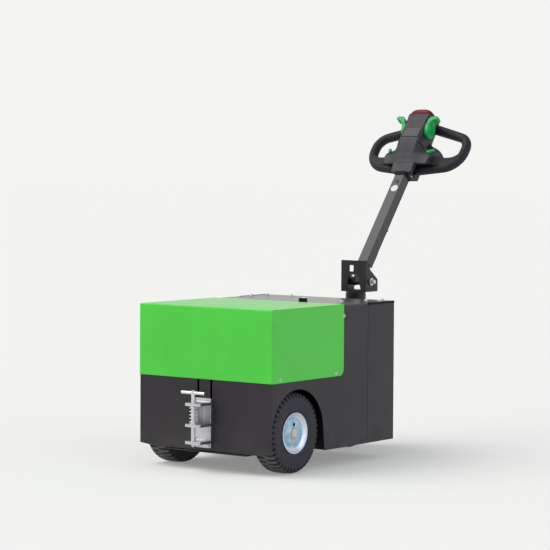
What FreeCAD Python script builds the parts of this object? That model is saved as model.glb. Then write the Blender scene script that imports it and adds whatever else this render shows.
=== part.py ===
"""Electric tow tug: two driven wheels, a tow jaw in front and a steered tiller behind.

Axes: +X right, +Y towards the tiller, +Z up, origin on the floor under the middle of the tug.
Lengths are millimetres.  Everything is driven by the cells of the sheet named Sizes.
"""
import FreeCAD, Part
import os
import Sketcher

Vector = FreeCAD.Vector

SIZES = [
    # whole machine
    ("front_reach", 629.4),          # origin to the front face of the cover
    ("running_gap", 0.06),           # radial gap of a shaft in its bore
    ("seat_gap", 0.3),               # gap between pieces that rest on each other but move apart
    # green cover
    ("cover_width", 542.0),
    ("cover_length", 390.0),
    ("cover_top", 530.0),
    ("cover_bottom", 297.5),
    ("cover_sheet", 2.5),
    ("cover_corner", 22.0),          # rounded lower rear corner of each side
    ("cover_bend", 4.0),
    # body panels
    ("body_length", 691.0),
    ("panel_sheet", 2.0),
    ("deck_sheet", 4.0),
    ("front_bottom", 68.0),
    ("side_bottom", 61.0),
    ("corner_rise", 6.0),            # lower corners of the front panel slope up this much
    ("corner_run", 50.0),
    ("seam_place", 533.0),
    ("seam_gap", 1.6),
    ("slot_spacing", 53.0),
    ("slot_width", 8.4),
    ("slot_low", 100.0),
    ("slot_high", 345.0),
    # wheels and axle
    ("tyre_diameter", 260.0),
    ("tyre_width", 82.0),
    ("wheel_track", 440.0),
    ("axle_place", 140.0),
    ("arch_radius", 141.0),
    ("arch_flare", 149.0),           # axle to the rear edge of the arch at its lower end
    ("rim_radius", 66.0),
    ("rim_width", 78.0),
    ("rim_well", 50.0),
    ("rim_sheet", 3.0),
    ("dish_depth", 8.0),
    ("hub_radius", 18.0),
    ("shaft_radius", 12.5),
    ("valve_radius", 5.5),
    ("valve_place", 27.0),
    ("box_wall", 165.0),             # inner wall of the wheel box
    ("box_rear", 298.0),
    ("box_top", 292.0),
    ("box_sheet", 2.0),
    # chassis
    ("floor_sheet", 4.0),
    ("gearbox_width", 150.0),
    ("gearbox_length", 170.0),
    ("axle_tube_radius", 27.0),
    ("battery_width", 350.0),
    ("battery_length", 330.0),
    ("battery_height", 240.0),
    # tow jaw
    ("jaw_width", 62.0),
    ("jaw_low", 78.0),
    ("jaw_high", 237.0),
    ("jaw_plate", 8.0),
    ("ear_sheet", 9.0),
    ("ear_reach", 67.0),             # front edge of the ears ahead of the cover's front face
    ("ear_round", 12.0),
    ("ear_top_place", 216.0),
    ("ear_mid_place", 148.5),
    ("ear_low_place", 93.5),
    ("pin_radius", 7.0),
    ("pin_reach", 55.5),
    ("web_sheet", 8.0),
    ("web_gap", 5.0),                # from the spring to the web
    ("pin_high", 265.5),
    ("pin_tip", 9.0),                # tapered tip below the lowest ear
    ("pin_tip_taper", 5.0),
    ("pin_handle_radius", 5.5),
    ("pin_handle_length", 93.0),
    ("pin_handle_place", 257.5),
    ("pin_collar_radius", 12.0),
    ("pin_collar_height", 5.0),
    ("spring_radius", 13.5),
    ("spring_wire", 3.5),
    # steering column and castor
    ("column_radius", 35.5),
    ("column_low", 372.0),
    ("column_high", 534.0),
    ("steer_shaft_radius", 20.0),
    ("carrier_low", 385.0),
    ("carrier_high", 495.0),
    ("carrier_plate", 8.0),
    ("carrier_width", 220.0),
    ("castor_diameter", 200.0),
    ("castor_width", 46.0),
    ("castor_trail", 45.0),
    ("castor_clearance", 14.0),      # between the turning castor and the rear cover
    ("castor_rim_radius", 62.0),
    ("castor_axle_radius", 8.0),
    ("fork_gap", 70.0),
    ("hub_gap", 5.0),                # from the castor hub to each leg
    ("fork_sheet", 7.0),
    ("fork_width", 60.0),
    ("crown_gap", 12.0),             # over the castor tyre
    ("crown_sheet", 12.0),
    # steering bracket
    ("bracket_width", 104.0),
    ("bracket_sheet", 5.0),
    ("bracket_front", 15.0),         # front face of the bracket ahead of the column
    ("bracket_back", 59.0),
    ("bracket_low", 541.0),
    ("bracket_high", 650.0),
    ("upper_window_width", 19.0),
    ("upper_window_high", 17.0),     # upper window, measured down from the bracket's top
    ("upper_window_low", 39.0),
    ("lower_window_foot", 60.0),     # lower window: width at its foot, at its head, and its height
    ("lower_window_head", 39.0),
    ("lower_window_height", 52.0),
    ("lower_window_sill", 7.0),      # above the bracket's underside
    ("thrust_collar", 6.5),          # ring under the bracket, just clear of the column
    ("pivot_place", 17.0),           # tiller pivot behind the column
    ("pivot_height", 576.0),
    ("pivot_radius", 8.0),
    # tiller
    ("tiller_lean", 37.7),
    ("pivot_depth", 14.1),           # pivot in front of the tube's rear face
    ("pivot_drop", 4.6),             # pivot below the point that tiller lengths start from
    ("tube_size", 40.0),
    ("tube_wall", 3.0),
    ("tube_corner", 1.5),
    ("tube_back", 1.5),              # rear face, in front of the line that depths start from
    ("tube_start", 64.0),
    ("foot_lip", 1.0),               # the thicker foot of the tube stands behind that line
    ("foot_end", 125.0),
    ("tube_end", 560.0),
    ("channel_sheet", 4.0),
    ("channel_length", 170.0),
    ("channel_back", 12.0),          # rear edges of the channel in front of the tube's rear face
    ("ear_radius", 15.0),
    # tiller head, measured along the tiller from the pivot
    ("head_low", 450.0),
    ("head_high", 700.0),
    ("head_tongue", 86.0),           # width over the tube
    ("head_neck", 104.0),
    ("head_tip", 78.0),
    ("head_front_low", 42.0),
    ("head_front_high", 78.0),
    ("head_back", 14.0),
    ("head_lip", 34.0),              # the tongue lies over the tube's front, down to this depth
    ("shoulder_width", 186.0),
    ("shoulder_low", 486.0),
    ("shoulder_high", 516.0),
    ("shoulder_front", 48.0),
    ("shell_front", 12.0),           # moulded shell round the plane of the loops
    ("shell_back", 20.0),
    ("shell_low", 492.0),
    ("shell_side", 576.0),           # top of the shell at its outer edge, at the flank and at the middle
    ("shell_flank", 614.0),
    ("shell_high", 652.0),
    ("web_top", 553.0),              # top of the moulded web inside each loop
    ("web_reach", 158.0),
    ("loop_place", 10.0),
    ("loop_tube", 34.0),
    ("loop_half_width", 193.0),
    ("loop_upper", 688.0),
    ("loop_lower", 504.0),
    ("loop_shoulder", 641.0),
    ("loop_hip", 524.0),
    ("loop_upper_bend", 54.0),
    ("loop_lower_bend", 74.0),
    ("thumb_place", 640.0),
    ("thumb_front", 42.0),
    ("thumb_radius", 25.0),
    ("thumb_width", 17.0),
    ("thumb_tip", 88.0),
    ("thumb_high", 689.0),
    ("thumb_depth", 24.0),
    ("button_height", 34.0),
    ("bracket_depth", 46.0),         # head bracket behind the tube's rear face
]

# sizes that follow from others
TIED = [
    ("gearbox_height", "tyre_diameter - 2 * ( side_bottom + floor_sheet + 5 )"),
    ("column_place", "body_length + castor_diameter / 2 + castor_trail + castor_clearance"),
    ("crown_low", "castor_diameter + crown_gap"),
]

document = FreeCAD.newDocument("TowTug")
sheet = document.addObject("Spreadsheet::Sheet", "Sizes")
for row, (alias, number) in enumerate(SIZES, start=1):
    sheet.set("A%d" % row, alias)
    sheet.set("B%d" % row, str(number))
    sheet.setAlias("B%d" % row, alias)
for row, (alias, formula) in enumerate(TIED, start=len(SIZES) + 1):
    sheet.set("A%d" % row, alias)
    sheet.set("B%d" % row, "=" + formula)
    sheet.setAlias("B%d" % row, alias)
document.recompute()

pieces = []


def bare(expression):
    """Write alias names as the expressions read them, with the sheet's name in front."""
    words = expression.replace("(", " ( ").replace(")", " ) ").split()
    known = {alias for alias, _ in SIZES + TIED}
    written = " ".join("Sizes." + word if word in known else word for word in words)
    return written.replace("sin (", "sin(").replace("cos (", "cos(")


def value(expression):
    """The number that an expression of the sheet's aliases has now."""
    return float(sheet.evalExpression(bare(expression)))


def place(item, x="0", y="0", z="0", lean="0"):
    """Put an object at a point of the tug's frame, leaning back about X by lean degrees."""
    item.setExpression("Placement", (
        "create(<<placement>>; create(<<vector>>; %s; %s; %s); "
        "create(<<rotation>>; create(<<vector>>; 1; 0; 0); -1 * ( %s )))"
        % (bare(x), bare(y), bare(z), bare(lean))))


def new_body(name, x="0", y="- front_reach", z="0", lean="0"):
    """A body for one named piece, placed by default with Y counted from the cover's front."""
    body = document.addObject("PartDesign::Body", name)
    body.Label = name
    place(body, x, y, z, lean)
    pieces.append(body)
    return body


def new_sketch(body, plane, offset="0"):
    """A sketch on one of the body's own planes, moved along that plane's normal."""
    sketch = body.newObject("Sketcher::SketchObject", body.Name + "_sketch")
    support = [item for item in body.Origin.OriginFeatures if item.Role == plane][0]
    sketch.AttachmentSupport = [(support, "")]
    sketch.MapMode = "FlatFace"
    sketch.setExpression("AttachmentOffset.Base.z", bare(offset))
    return sketch


def bind(sketch, kind, where, expression):
    """Add a driving dimension to a sketch and tie it to the sheet."""
    index = sketch.addConstraint(Sketcher.Constraint(kind, *where, value(expression)))
    sketch.setExpression("Constraints[%d]" % index, bare(expression))


def pin_point(sketch, element, end, x, y):
    """Hold one point of a sketch at x, y from the sketch's origin."""
    if abs(value(x)) < 1e-9 and x == "0":
        sketch.addConstraint(Sketcher.Constraint("PointOnObject", element, end, -2))
    else:
        bind(sketch, "DistanceX", (-1, 1, element, end), x)
    if abs(value(y)) < 1e-9 and y == "0":
        sketch.addConstraint(Sketcher.Constraint("PointOnObject", element, end, -1))
    else:
        bind(sketch, "DistanceY", (-1, 1, element, end), y)


def draw_outline(sketch, corners, closed=True):
    """Straight edges through the corners; a corner (x, y, radius) is rounded."""
    points = [Vector(value(corner[0]), value(corner[1]), 0) for corner in corners]
    count = len(points)
    edges = count if closed else count - 1
    first = sketch.GeometryCount
    for index in range(edges):
        sketch.addGeometry(Part.LineSegment(points[index], points[(index + 1) % count]))
    for index in range(edges if closed else edges - 1):
        following = first + (index + 1) % edges
        sketch.addConstraint(Sketcher.Constraint("Coincident", first + index, 2, following, 1))
    for index, corner in enumerate(corners):
        if index < edges:
            pin_point(sketch, first + index, 1, corner[0], corner[1])
        else:
            pin_point(sketch, first + edges - 1, 2, corner[0], corner[1])
    for index, corner in enumerate(corners):
        if len(corner) == 3:
            sketch.fillet(first + index, 1, value(corner[2]), True, True)
            arcs = [number for number, item in enumerate(sketch.Geometry)
                    if item.TypeId == "Part::GeomArcOfCircle"]
            bind(sketch, "Radius", (arcs[-1],), corner[2])


def draw_circle(sketch, x, y, radius):
    """A full circle with its centre at x, y."""
    centre = Vector(value(x), value(y), 0)
    element = sketch.addGeometry(Part.Circle(centre, Vector(0, 0, 1), value(radius)))
    pin_point(sketch, element, 3, x, y)
    bind(sketch, "Radius", (element,), radius)


def rectangle(x_low, x_high, y_low, y_high, radius=None):
    """The four corners of an upright rectangle, all rounded when a radius is given."""
    corners = [(x_low, y_low), (x_high, y_low), (x_high, y_high), (x_low, y_high)]
    return [corner + (radius,) for corner in corners] if radius else corners


def pad(body, sketch, length, symmetric=False, backwards=False):
    """Grow a sketch into a solid along its normal."""
    feature = body.newObject("PartDesign::Pad", body.Name + "_pad")
    feature.Profile = sketch
    feature.setExpression("Length", bare(length))
    feature.SideType = "Symmetric" if symmetric else "One side"
    feature.Reversed = backwards
    document.recompute()
    return feature


def pocket(body, sketch, length=None, symmetric=False, backwards=False):
    """Cut a sketch out of a body, all the way through both sides when no length is given."""
    before = body.Shape.Volume
    feature = body.newObject("PartDesign::Pocket", body.Name + "_pocket")
    feature.Profile = sketch
    feature.Reversed = backwards
    if length is None:
        feature.setExpression("Length", "4000")
        feature.SideType = "Symmetric"
    else:
        feature.setExpression("Length", bare(length))
        feature.SideType = "Symmetric" if symmetric else "One side"
    document.recompute()
    if body.Shape.Volume > before - 1e-3:
        raise ValueError("a pocket of %s cuts nothing" % body.Label)
    return feature


def revolve(body, sketch, axis):
    """Turn a sketch a full circle about one of its own axes, H_Axis or V_Axis."""
    feature = body.newObject("PartDesign::Revolution", body.Name + "_revolution")
    feature.Profile = sketch
    feature.ReferenceAxis = (sketch, [axis])
    feature.Angle = 360
    document.recompute()
    return feature


def round_edges(body, radius, chosen):
    """Fillet the edges of the body's tip that the test picks out."""
    tip = body.Tip
    names = ["Edge%d" % number for number, edge in enumerate(tip.Shape.Edges, start=1)
             if chosen(edge)]
    feature = body.newObject("PartDesign::Fillet", body.Name + "_fillet")
    feature.Base = (tip, names)
    feature.setExpression("Radius", bare(radius))
    document.recompute()
    if not names or not feature.Shape.isValid():
        raise ValueError("the edges of %s cannot be rounded by %s" % (body.Label, radius))
    return feature


def along(edge, axis):
    """Whether an edge is straight and runs along axis 0, 1 or 2."""
    if len(edge.Vertexes) < 2:
        return False
    step = edge.Vertexes[1].Point - edge.Vertexes[0].Point
    return abs(abs(step[axis]) - edge.Length) < 1e-6


def body_height(edge):
    """Middle of an edge along the tiller."""
    return edge.CenterOfMass.z


def mirrored(body, original):
    """Fill a body with the mirror image of another body across the YZ plane of the tug."""
    feature = document.addObject("Part::Mirroring", original.Name + "_mirror")
    feature.Source = original
    feature.Base = Vector(0, 0, 0)
    feature.Normal = Vector(1, 0, 0)
    feature.Label = body
    pieces.append(feature)
    return feature


# ---------------------------------------------------------------- cover and body panels

BODY_HALF = "( cover_width / 2 - cover_sheet )"
DECK_LOW = "( cover_top - cover_sheet - deck_sheet )"


def make_green_cover():
    body = new_body("green_cover")
    outer = new_sketch(body, "XY_Plane", "cover_bottom")
    draw_outline(outer, rectangle("- cover_width / 2", "cover_width / 2", "0", "cover_length"))
    pad(body, outer, "cover_top - cover_bottom")
    round_edges(body, "cover_bend", lambda edge: (
        along(edge, 2) and edge.CenterOfMass.y < 1 or
        along(edge, 0) and edge.CenterOfMass.y < 1 and edge.CenterOfMass.z > value("cover_top") - 1 or
        along(edge, 1) and edge.CenterOfMass.z > value("cover_top") - 1))
    inner = new_sketch(body, "XY_Plane", "cover_bottom - 1")
    draw_outline(inner, rectangle("- cover_width / 2 + cover_sheet", "cover_width / 2 - cover_sheet",
                                  "cover_sheet", "cover_length + 1"))
    pocket(body, inner, "cover_top - cover_bottom - cover_sheet + 1", backwards=True)
    round_edges(body, "cover_corner", lambda edge: (
        along(edge, 0) and edge.CenterOfMass.y > value("cover_length") - 1
        and edge.CenterOfMass.z < value("cover_bottom") + 1))
    return body


def make_front_panel():
    body = new_body("front_panel")
    face = new_sketch(body, "XZ_Plane", "- cover_sheet")
    half = BODY_HALF
    draw_outline(face, [
        ("- " + half, "front_bottom + corner_rise"), ("- " + half + " + corner_run", "front_bottom"),
        (half + " - corner_run", "front_bottom"), (half, "front_bottom + corner_rise"),
        (half, DECK_LOW), ("- " + half, DECK_LOW)])
    pad(body, face, "panel_sheet", backwards=True)
    slots = new_sketch(body, "XZ_Plane")
    for side in ("-", ""):
        middle = "%s slot_spacing / 2" % side
        draw_outline(slots, rectangle(middle + " - slot_width / 2", middle + " + slot_width / 2",
                                      "slot_low", "slot_high", "slot_width * 0.45"))
    pocket(body, slots)
    return body


def make_side_panel(name, side):
    body = new_body(name)
    face = new_sketch(body, "YZ_Plane", "%s * %s" % (side, BODY_HALF))
    front = "cover_sheet + panel_sheet"
    draw_outline(face, [
        (front, "side_bottom"), ("seam_place - seam_gap / 2", "side_bottom"),
        ("seam_place - seam_gap / 2", DECK_LOW), (front, DECK_LOW)])
    pad(body, face, "panel_sheet", backwards=side == "1")
    arch = new_sketch(body, "YZ_Plane")
    draw_circle(arch, "axle_place", "tyre_diameter / 2", "arch_radius")
    pocket(body, arch)
    gap = new_sketch(body, "YZ_Plane")
    draw_outline(gap, [
        (front + " - 1", "side_bottom - 1"), ("axle_place + arch_flare", "side_bottom - 1"),
        ("axle_place + arch_radius", "tyre_diameter / 2"), (front + " - 1", "tyre_diameter / 2")])
    pocket(body, gap)
    return body


def make_rear_cover():
    body = new_body("rear_cover")
    outer = new_sketch(body, "XY_Plane", "side_bottom")
    half = BODY_HALF
    front = "seam_place + seam_gap / 2"
    draw_outline(outer, [
        ("- " + half, front), ("- " + half, "body_length", "cover_bend"),
        (half, "body_length", "cover_bend"), (half, front), (half + " - panel_sheet", front),
        (half + " - panel_sheet", "body_length - panel_sheet"),
        ("- " + half + " + panel_sheet", "body_length - panel_sheet"),
        ("- " + half + " + panel_sheet", front)])
    pad(body, outer, DECK_LOW + " - side_bottom")
    return body


def make_deck_plate():
    body = new_body("deck_plate")
    face = new_sketch(body, "XY_Plane", DECK_LOW)
    half = BODY_HALF
    draw_outline(face, [
        ("- " + half, "cover_sheet"), (half, "cover_sheet"),
        (half, "body_length", "cover_bend"), ("- " + half, "body_length", "cover_bend")])
    pad(body, face, "deck_sheet")
    return body


def make_floor_pan():
    body = new_body("floor_pan")
    face = new_sketch(body, "XY_Plane", "side_bottom")
    half = BODY_HALF + " - panel_sheet"
    front = "cover_sheet + panel_sheet"
    draw_outline(face, [
        ("- box_wall", front), ("box_wall", front), ("box_wall", "box_rear"), (half, "box_rear"),
        (half, "body_length - panel_sheet"), ("- ( " + half + " )", "body_length - panel_sheet"),
        ("- ( " + half + " )", "box_rear"), ("- box_wall", "box_rear")])
    pad(body, face, "floor_sheet")
    return body


def make_wheel_box():
    """Folded inner arch: inner wall, roof and rear wall, open outwards and below."""
    body = new_body("wheel_box_right")
    front = "cover_sheet + panel_sheet"
    half = BODY_HALF + " - panel_sheet"
    block = new_sketch(body, "XY_Plane", "side_bottom + floor_sheet")
    draw_outline(block, rectangle("box_wall - box_sheet", half, front, "box_rear"))
    pad(body, block, "box_top - side_bottom - floor_sheet")
    hollow = new_sketch(body, "XY_Plane", "side_bottom")
    draw_outline(hollow, rectangle("box_wall", half + " + 1", front + " - 1", "box_rear - box_sheet"))
    pocket(body, hollow, "box_top - side_bottom - box_sheet", backwards=True)
    hole = new_sketch(body, "YZ_Plane")
    draw_circle(hole, "axle_place", "tyre_diameter / 2", "axle_tube_radius")
    pocket(body, hole)
    return body


# ---------------------------------------------------------------- drive

def make_transaxle():
    """Gearbox with its two axle tubes, bored for the half shafts."""
    body = new_body("transaxle", y="- front_reach + axle_place", z="tyre_diameter / 2")
    block = new_sketch(body, "YZ_Plane")
    draw_outline(block, rectangle("- gearbox_height / 2", "gearbox_length - gearbox_height / 2",
                                  "- gearbox_height / 2", "gearbox_height / 2", "18"))
    pad(body, block, "gearbox_width", symmetric=True)
    tube = new_sketch(body, "YZ_Plane")
    draw_circle(tube, "0", "0", "axle_tube_radius")
    pad(body, tube, "2 * box_wall", symmetric=True)
    bore = new_sketch(body, "YZ_Plane")
    draw_circle(bore, "0", "0", "shaft_radius + running_gap")
    pocket(body, bore)
    return body


def make_battery():
    body = new_body("battery_pack")
    face = new_sketch(body, "XY_Plane", "side_bottom + floor_sheet")
    draw_outline(face, rectangle("- battery_width / 2", "battery_width / 2",
                                 "body_length - panel_sheet - 10 - battery_length",
                                 "body_length - panel_sheet - 10"))
    pad(body, face, "battery_height")
    return body


WHEEL = {"y": "- front_reach + axle_place", "z": "tyre_diameter / 2"}


def make_tyre(name, x, where, radius, width, seat, seat_width):
    """A tyre turned about X: bulging sidewalls, round shoulders and a slightly crowned tread."""
    body = new_body(name, x=x, **where)
    section = new_sketch(body, "XY_Plane")
    shoulder = "( %s - 0.1 * ( %s ) )" % (radius, width)
    belly = "( ( %s ) * 0.45 + ( %s ) * 0.55 )" % (seat, radius)
    draw_outline(section, [
        ("- ( %s ) / 2" % seat_width, seat), ("( %s ) / 2" % seat_width, seat),
        ("( %s ) / 2" % width, belly, "0.25 * ( %s )" % width),
        ("0.42 * ( %s )" % width, shoulder, "0.12 * ( %s )" % width),
        ("0.25 * ( %s )" % width, radius), ("- 0.25 * ( %s )" % width, radius),
        ("- 0.42 * ( %s )" % width, shoulder, "0.12 * ( %s )" % width),
        ("- ( %s ) / 2" % width, belly, "0.25 * ( %s )" % width)])
    revolve(body, section, "H_Axis")
    return body


def make_rim(name, side):
    """Pressed rim with rolled lips, a dished disc and a hub, turned about X."""
    body = new_body(name, x="%s * wheel_track / 2" % side, **WHEEL)
    section = new_sketch(body, "XY_Plane")
    lip = "%s * rim_width / 2" % side
    seat = "%s * ( tyre_width * 0.36 )" % side
    disc = "%s * ( rim_width / 2 - dish_depth )" % side
    inside = "%s * ( rim_width / 2 - dish_depth - rim_sheet )" % side
    hub = "%s * ( - rim_width / 2 + 4 )" % side
    draw_outline(section, [
        (lip, "rim_radius"), (lip, "rim_radius - rim_sheet"),
        (disc, "rim_well - rim_sheet"), (disc, "hub_radius"),
        ("%s * ( rim_width / 2 - dish_depth + 5 )" % side, "hub_radius"),
        ("%s * ( rim_width / 2 - dish_depth + 5 )" % side, "shaft_radius"),
        (hub, "shaft_radius"), (hub, "hub_radius"), (inside, "hub_radius"),
        (inside, "rim_well - rim_sheet"), ("- " + seat, "rim_well - rim_sheet"),
        ("- " + lip, "rim_radius - rim_sheet"), ("- " + lip, "rim_radius"),
        ("- " + seat, "rim_well"), (seat, "rim_well")])
    revolve(body, section, "H_Axis")
    valve = new_sketch(body, "YZ_Plane")
    draw_circle(valve, "0", "valve_place", "valve_radius")
    pocket(body, valve)
    return body


def make_half_shaft(name, side):
    body = new_body(name, x="0", **WHEEL)
    face = new_sketch(body, "YZ_Plane", "%s * 12" % side)
    draw_circle(face, "0", "0", "shaft_radius")
    pad(body, face, "wheel_track / 2 + rim_width / 2 - dish_depth + 5 - 12", backwards=side == "-1")
    return body


# ---------------------------------------------------------------- tow jaw

def make_tow_jaw():
    """Back plate with three ears, bored in line for the tow pin, and a web behind the spring."""
    body = new_body("tow_jaw")
    plate = new_sketch(body, "XZ_Plane", "- cover_sheet")
    draw_outline(plate, [
        ("- jaw_width / 2", "jaw_low", "4"), ("jaw_width / 2", "jaw_low", "4"),
        ("jaw_width / 2", "jaw_high", "4"), ("- jaw_width / 2", "jaw_high", "4")])
    pad(body, plate, "jaw_plate")
    for height in ("ear_low_place", "ear_mid_place", "ear_top_place"):
        ear = new_sketch(body, "XY_Plane", height)
        draw_outline(ear, [
            ("- jaw_width / 2", "- ear_reach", "ear_round"), ("jaw_width / 2", "- ear_reach", "ear_round"),
            ("jaw_width / 2", "cover_sheet - jaw_plate + 1"),
            ("- jaw_width / 2", "cover_sheet - jaw_plate + 1")])
        pad(body, ear, "ear_sheet")
    web = new_sketch(body, "YZ_Plane")
    draw_outline(web, rectangle("- pin_reach + spring_radius + web_gap", "cover_sheet - jaw_plate + 1",
                                "ear_mid_place + ear_sheet - 1", "ear_top_place + 1"))
    pad(body, web, "web_sheet", symmetric=True)
    bore = new_sketch(body, "XY_Plane")
    draw_circle(bore, "0", "- pin_reach", "pin_radius + running_gap")
    pocket(body, bore)
    return body


PIN = {"y": "- front_reach - pin_reach"}


def make_tow_pin():
    """Round pin with a tapered tip, cross drilled for its handle."""
    body = new_body("tow_pin", **PIN)
    section = new_sketch(body, "YZ_Plane")
    low = "ear_low_place - pin_tip"
    draw_outline(section, [
        ("0", low), ("pin_radius - pin_tip_taper", low), ("pin_radius", low + " + pin_tip_taper"),
        ("pin_radius", "pin_high"), ("0", "pin_high")])
    revolve(body, section, "V_Axis")
    hole = new_sketch(body, "YZ_Plane")
    draw_circle(hole, "0", "pin_handle_place", "pin_handle_radius")
    pocket(body, hole)
    return body


def make_tow_pin_handle():
    body = new_body("tow_pin_handle", **PIN)
    face = new_sketch(body, "YZ_Plane")
    draw_circle(face, "0", "pin_handle_place", "pin_handle_radius")
    pad(body, face, "pin_handle_length", symmetric=True)
    return body


def make_ring(name, low, height, outer, inner, where):
    """A plain ring about Z."""
    body = new_body(name, **where)
    face = new_sketch(body, "XY_Plane", low)
    draw_circle(face, "0", "0", outer)
    draw_circle(face, "0", "0", inner)
    pad(body, face, height)
    return body


# ---------------------------------------------------------------- steering and castor

COLUMN = {"y": "- front_reach + column_place"}
CARRIER_REACH = "( column_place - body_length )"


def make_steering_carrier():
    """Welded bracket from the rear face to the column: flange, two plates and two webs."""
    body = new_body("steering_carrier", **COLUMN)
    flange = new_sketch(body, "XZ_Plane", CARRIER_REACH)
    draw_outline(flange, rectangle("- carrier_width / 2 - 12", "carrier_width / 2 + 12",
                                   "carrier_low - 14", "carrier_high + 14", "10"))
    pad(body, flange, "carrier_plate", backwards=True)
    for low in ("carrier_low", "carrier_high - carrier_plate"):
        plate = new_sketch(body, "XY_Plane", low)
        draw_outline(plate, [
            ("- carrier_width / 2", "- %s + carrier_plate - 1" % CARRIER_REACH),
            ("carrier_width / 2", "- %s + carrier_plate - 1" % CARRIER_REACH),
            ("column_radius + 8", "column_radius + 8", "column_radius"),
            ("- column_radius - 8", "column_radius + 8", "column_radius")])
        pad(body, plate, "carrier_plate")
    for side in ("1", "-1"):
        web = new_sketch(body, "XY_Plane", "carrier_low + carrier_plate - 1")
        draw_outline(web, [
            ("%s * ( carrier_width / 2 - 12 )" % side, "- %s + carrier_plate - 1" % CARRIER_REACH),
            ("%s * ( carrier_width / 2 - 4 )" % side, "- %s + carrier_plate - 1" % CARRIER_REACH),
            ("%s * ( column_radius + 6 )" % side, "4"), ("%s * ( column_radius - 2 )" % side, "4")])
        pad(body, web, "carrier_high - carrier_low - 2 * carrier_plate + 2")
    bore = new_sketch(body, "XY_Plane")
    draw_circle(bore, "0", "0", "column_radius")
    pocket(body, bore)
    return body


def make_castor_fork():
    """Crown plate and two trailing legs."""
    body = new_body("castor_fork", **COLUMN)
    outside = "fork_gap / 2 + fork_sheet"
    crown = new_sketch(body, "XY_Plane", "crown_low")
    draw_outline(crown, rectangle("- ( %s )" % outside, outside,
                                  "- castor_trail - fork_width / 2", "fork_width / 2 + 10", "10"))
    pad(body, crown, "crown_sheet")
    for side in ("1", "-1"):
        leg = new_sketch(body, "YZ_Plane", "%s * fork_gap / 2" % side)
        draw_outline(leg, [
            ("- castor_trail - fork_width / 2", "castor_diameter / 2 - fork_width / 2", "fork_width * 0.45"),
            ("- castor_trail + fork_width / 2", "castor_diameter / 2 - fork_width / 2", "fork_width * 0.45"),
            ("fork_width / 2", "crown_low + 1"), ("- castor_trail - fork_width / 2", "crown_low + 1")])
        pad(body, leg, "fork_sheet", backwards=side == "-1")
    hole = new_sketch(body, "YZ_Plane")
    draw_circle(hole, "- castor_trail", "castor_diameter / 2", "castor_axle_radius")
    pocket(body, hole)
    return body


def make_steering_shaft():
    body = new_body("steering_shaft", **COLUMN)
    face = new_sketch(body, "XY_Plane", "crown_low + crown_sheet")
    draw_circle(face, "0", "0", "steer_shaft_radius")
    pad(body, face, "bracket_low - crown_low - crown_sheet")
    foot = new_sketch(body, "XY_Plane", "crown_low + crown_sheet")
    draw_circle(foot, "0", "0", "steer_shaft_radius + 14")
    pad(body, foot, "10")
    collar = new_sketch(body, "XY_Plane", "bracket_low")
    draw_circle(collar, "0", "0", "column_radius - 1")
    pad(body, collar, "thrust_collar", backwards=True)
    return body


def make_steering_bracket():
    """Folded bracket: base, front plate with two windows, and a cheek on each side."""
    body = new_body("steering_bracket", **COLUMN)
    cheek = new_sketch(body, "YZ_Plane")
    draw_outline(cheek, [
        ("- bracket_front", "bracket_low"), ("bracket_back", "bracket_low", "6"),
        ("bracket_back", "pivot_height + 7", "6"), ("bracket_front", "pivot_height + 40"),
        ("- bracket_front + bracket_sheet + 3", "bracket_high", "4"), ("- bracket_front", "bracket_high")])
    pad(body, cheek, "bracket_width", symmetric=True)
    inside = new_sketch(body, "XZ_Plane", "bracket_front - bracket_sheet")
    draw_outline(inside, rectangle("- bracket_width / 2 + bracket_sheet", "bracket_width / 2 - bracket_sheet",
                                   "bracket_low + bracket_sheet", "bracket_high + 1"))
    pocket(body, inside, "bracket_front + bracket_back + 10")
    windows = new_sketch(body, "XZ_Plane")
    draw_outline(windows, rectangle("- upper_window_width", "0", "bracket_high - upper_window_low",
                                    "bracket_high - upper_window_high", "2"))
    sill = "bracket_low + lower_window_sill"
    draw_outline(windows, [
        ("- lower_window_foot / 2", sill), ("lower_window_foot / 2", sill),
        ("lower_window_head / 2", sill + " + lower_window_height"),
        ("- lower_window_head / 2", sill + " + lower_window_height")])
    pocket(body, windows, "2 * bracket_front", backwards=True)
    hole = new_sketch(body, "YZ_Plane")
    draw_circle(hole, "pivot_place", "pivot_height", "pivot_radius")
    pocket(body, hole)
    return body


PIVOT = {"y": "- front_reach + column_place + pivot_place", "z": "pivot_height"}


def make_pivot_pin():
    body = new_body("tiller_pivot_pin", **PIVOT)
    face = new_sketch(body, "YZ_Plane")
    draw_circle(face, "0", "0", "pivot_radius")
    pad(body, face, "bracket_width + 14", symmetric=True)
    for side in ("1", "-1"):
        head = new_sketch(body, "YZ_Plane", "%s * bracket_width / 2" % side)
        draw_circle(head, "0", "0", "pivot_radius + 5")
        pad(body, head, "4", backwards=side == "-1")
    return body


CASTOR = {"y": "- front_reach + column_place - castor_trail", "z": "castor_diameter / 2"}


def make_castor_rim():
    body = new_body("castor_rim", **CASTOR)
    section = new_sketch(body, "XY_Plane")
    bore = "castor_axle_radius + running_gap"
    draw_outline(section, [
        ("fork_gap / 2 - hub_gap", bore), ("fork_gap / 2 - hub_gap", "24"), ("6", "30"), ("6", "castor_rim_radius - 10"),
        ("castor_width * 0.4", "castor_rim_radius - 4"), ("castor_width * 0.4", "castor_rim_radius"),
        ("castor_width * -0.4", "castor_rim_radius"), ("castor_width * -0.4", "castor_rim_radius - 4"),
        ("-6", "castor_rim_radius - 10"), ("-6", "30"), ("- fork_gap / 2 + hub_gap", "24"),
        ("- fork_gap / 2 + hub_gap", bore)])
    revolve(body, section, "H_Axis")
    return body


def make_castor_axle():
    body = new_body("castor_axle", **CASTOR)
    face = new_sketch(body, "YZ_Plane")
    draw_circle(face, "0", "0", "castor_axle_radius")
    pad(body, face, "fork_gap + 2 * fork_sheet + 16", symmetric=True)
    return body


# ---------------------------------------------------------------- tiller

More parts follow.
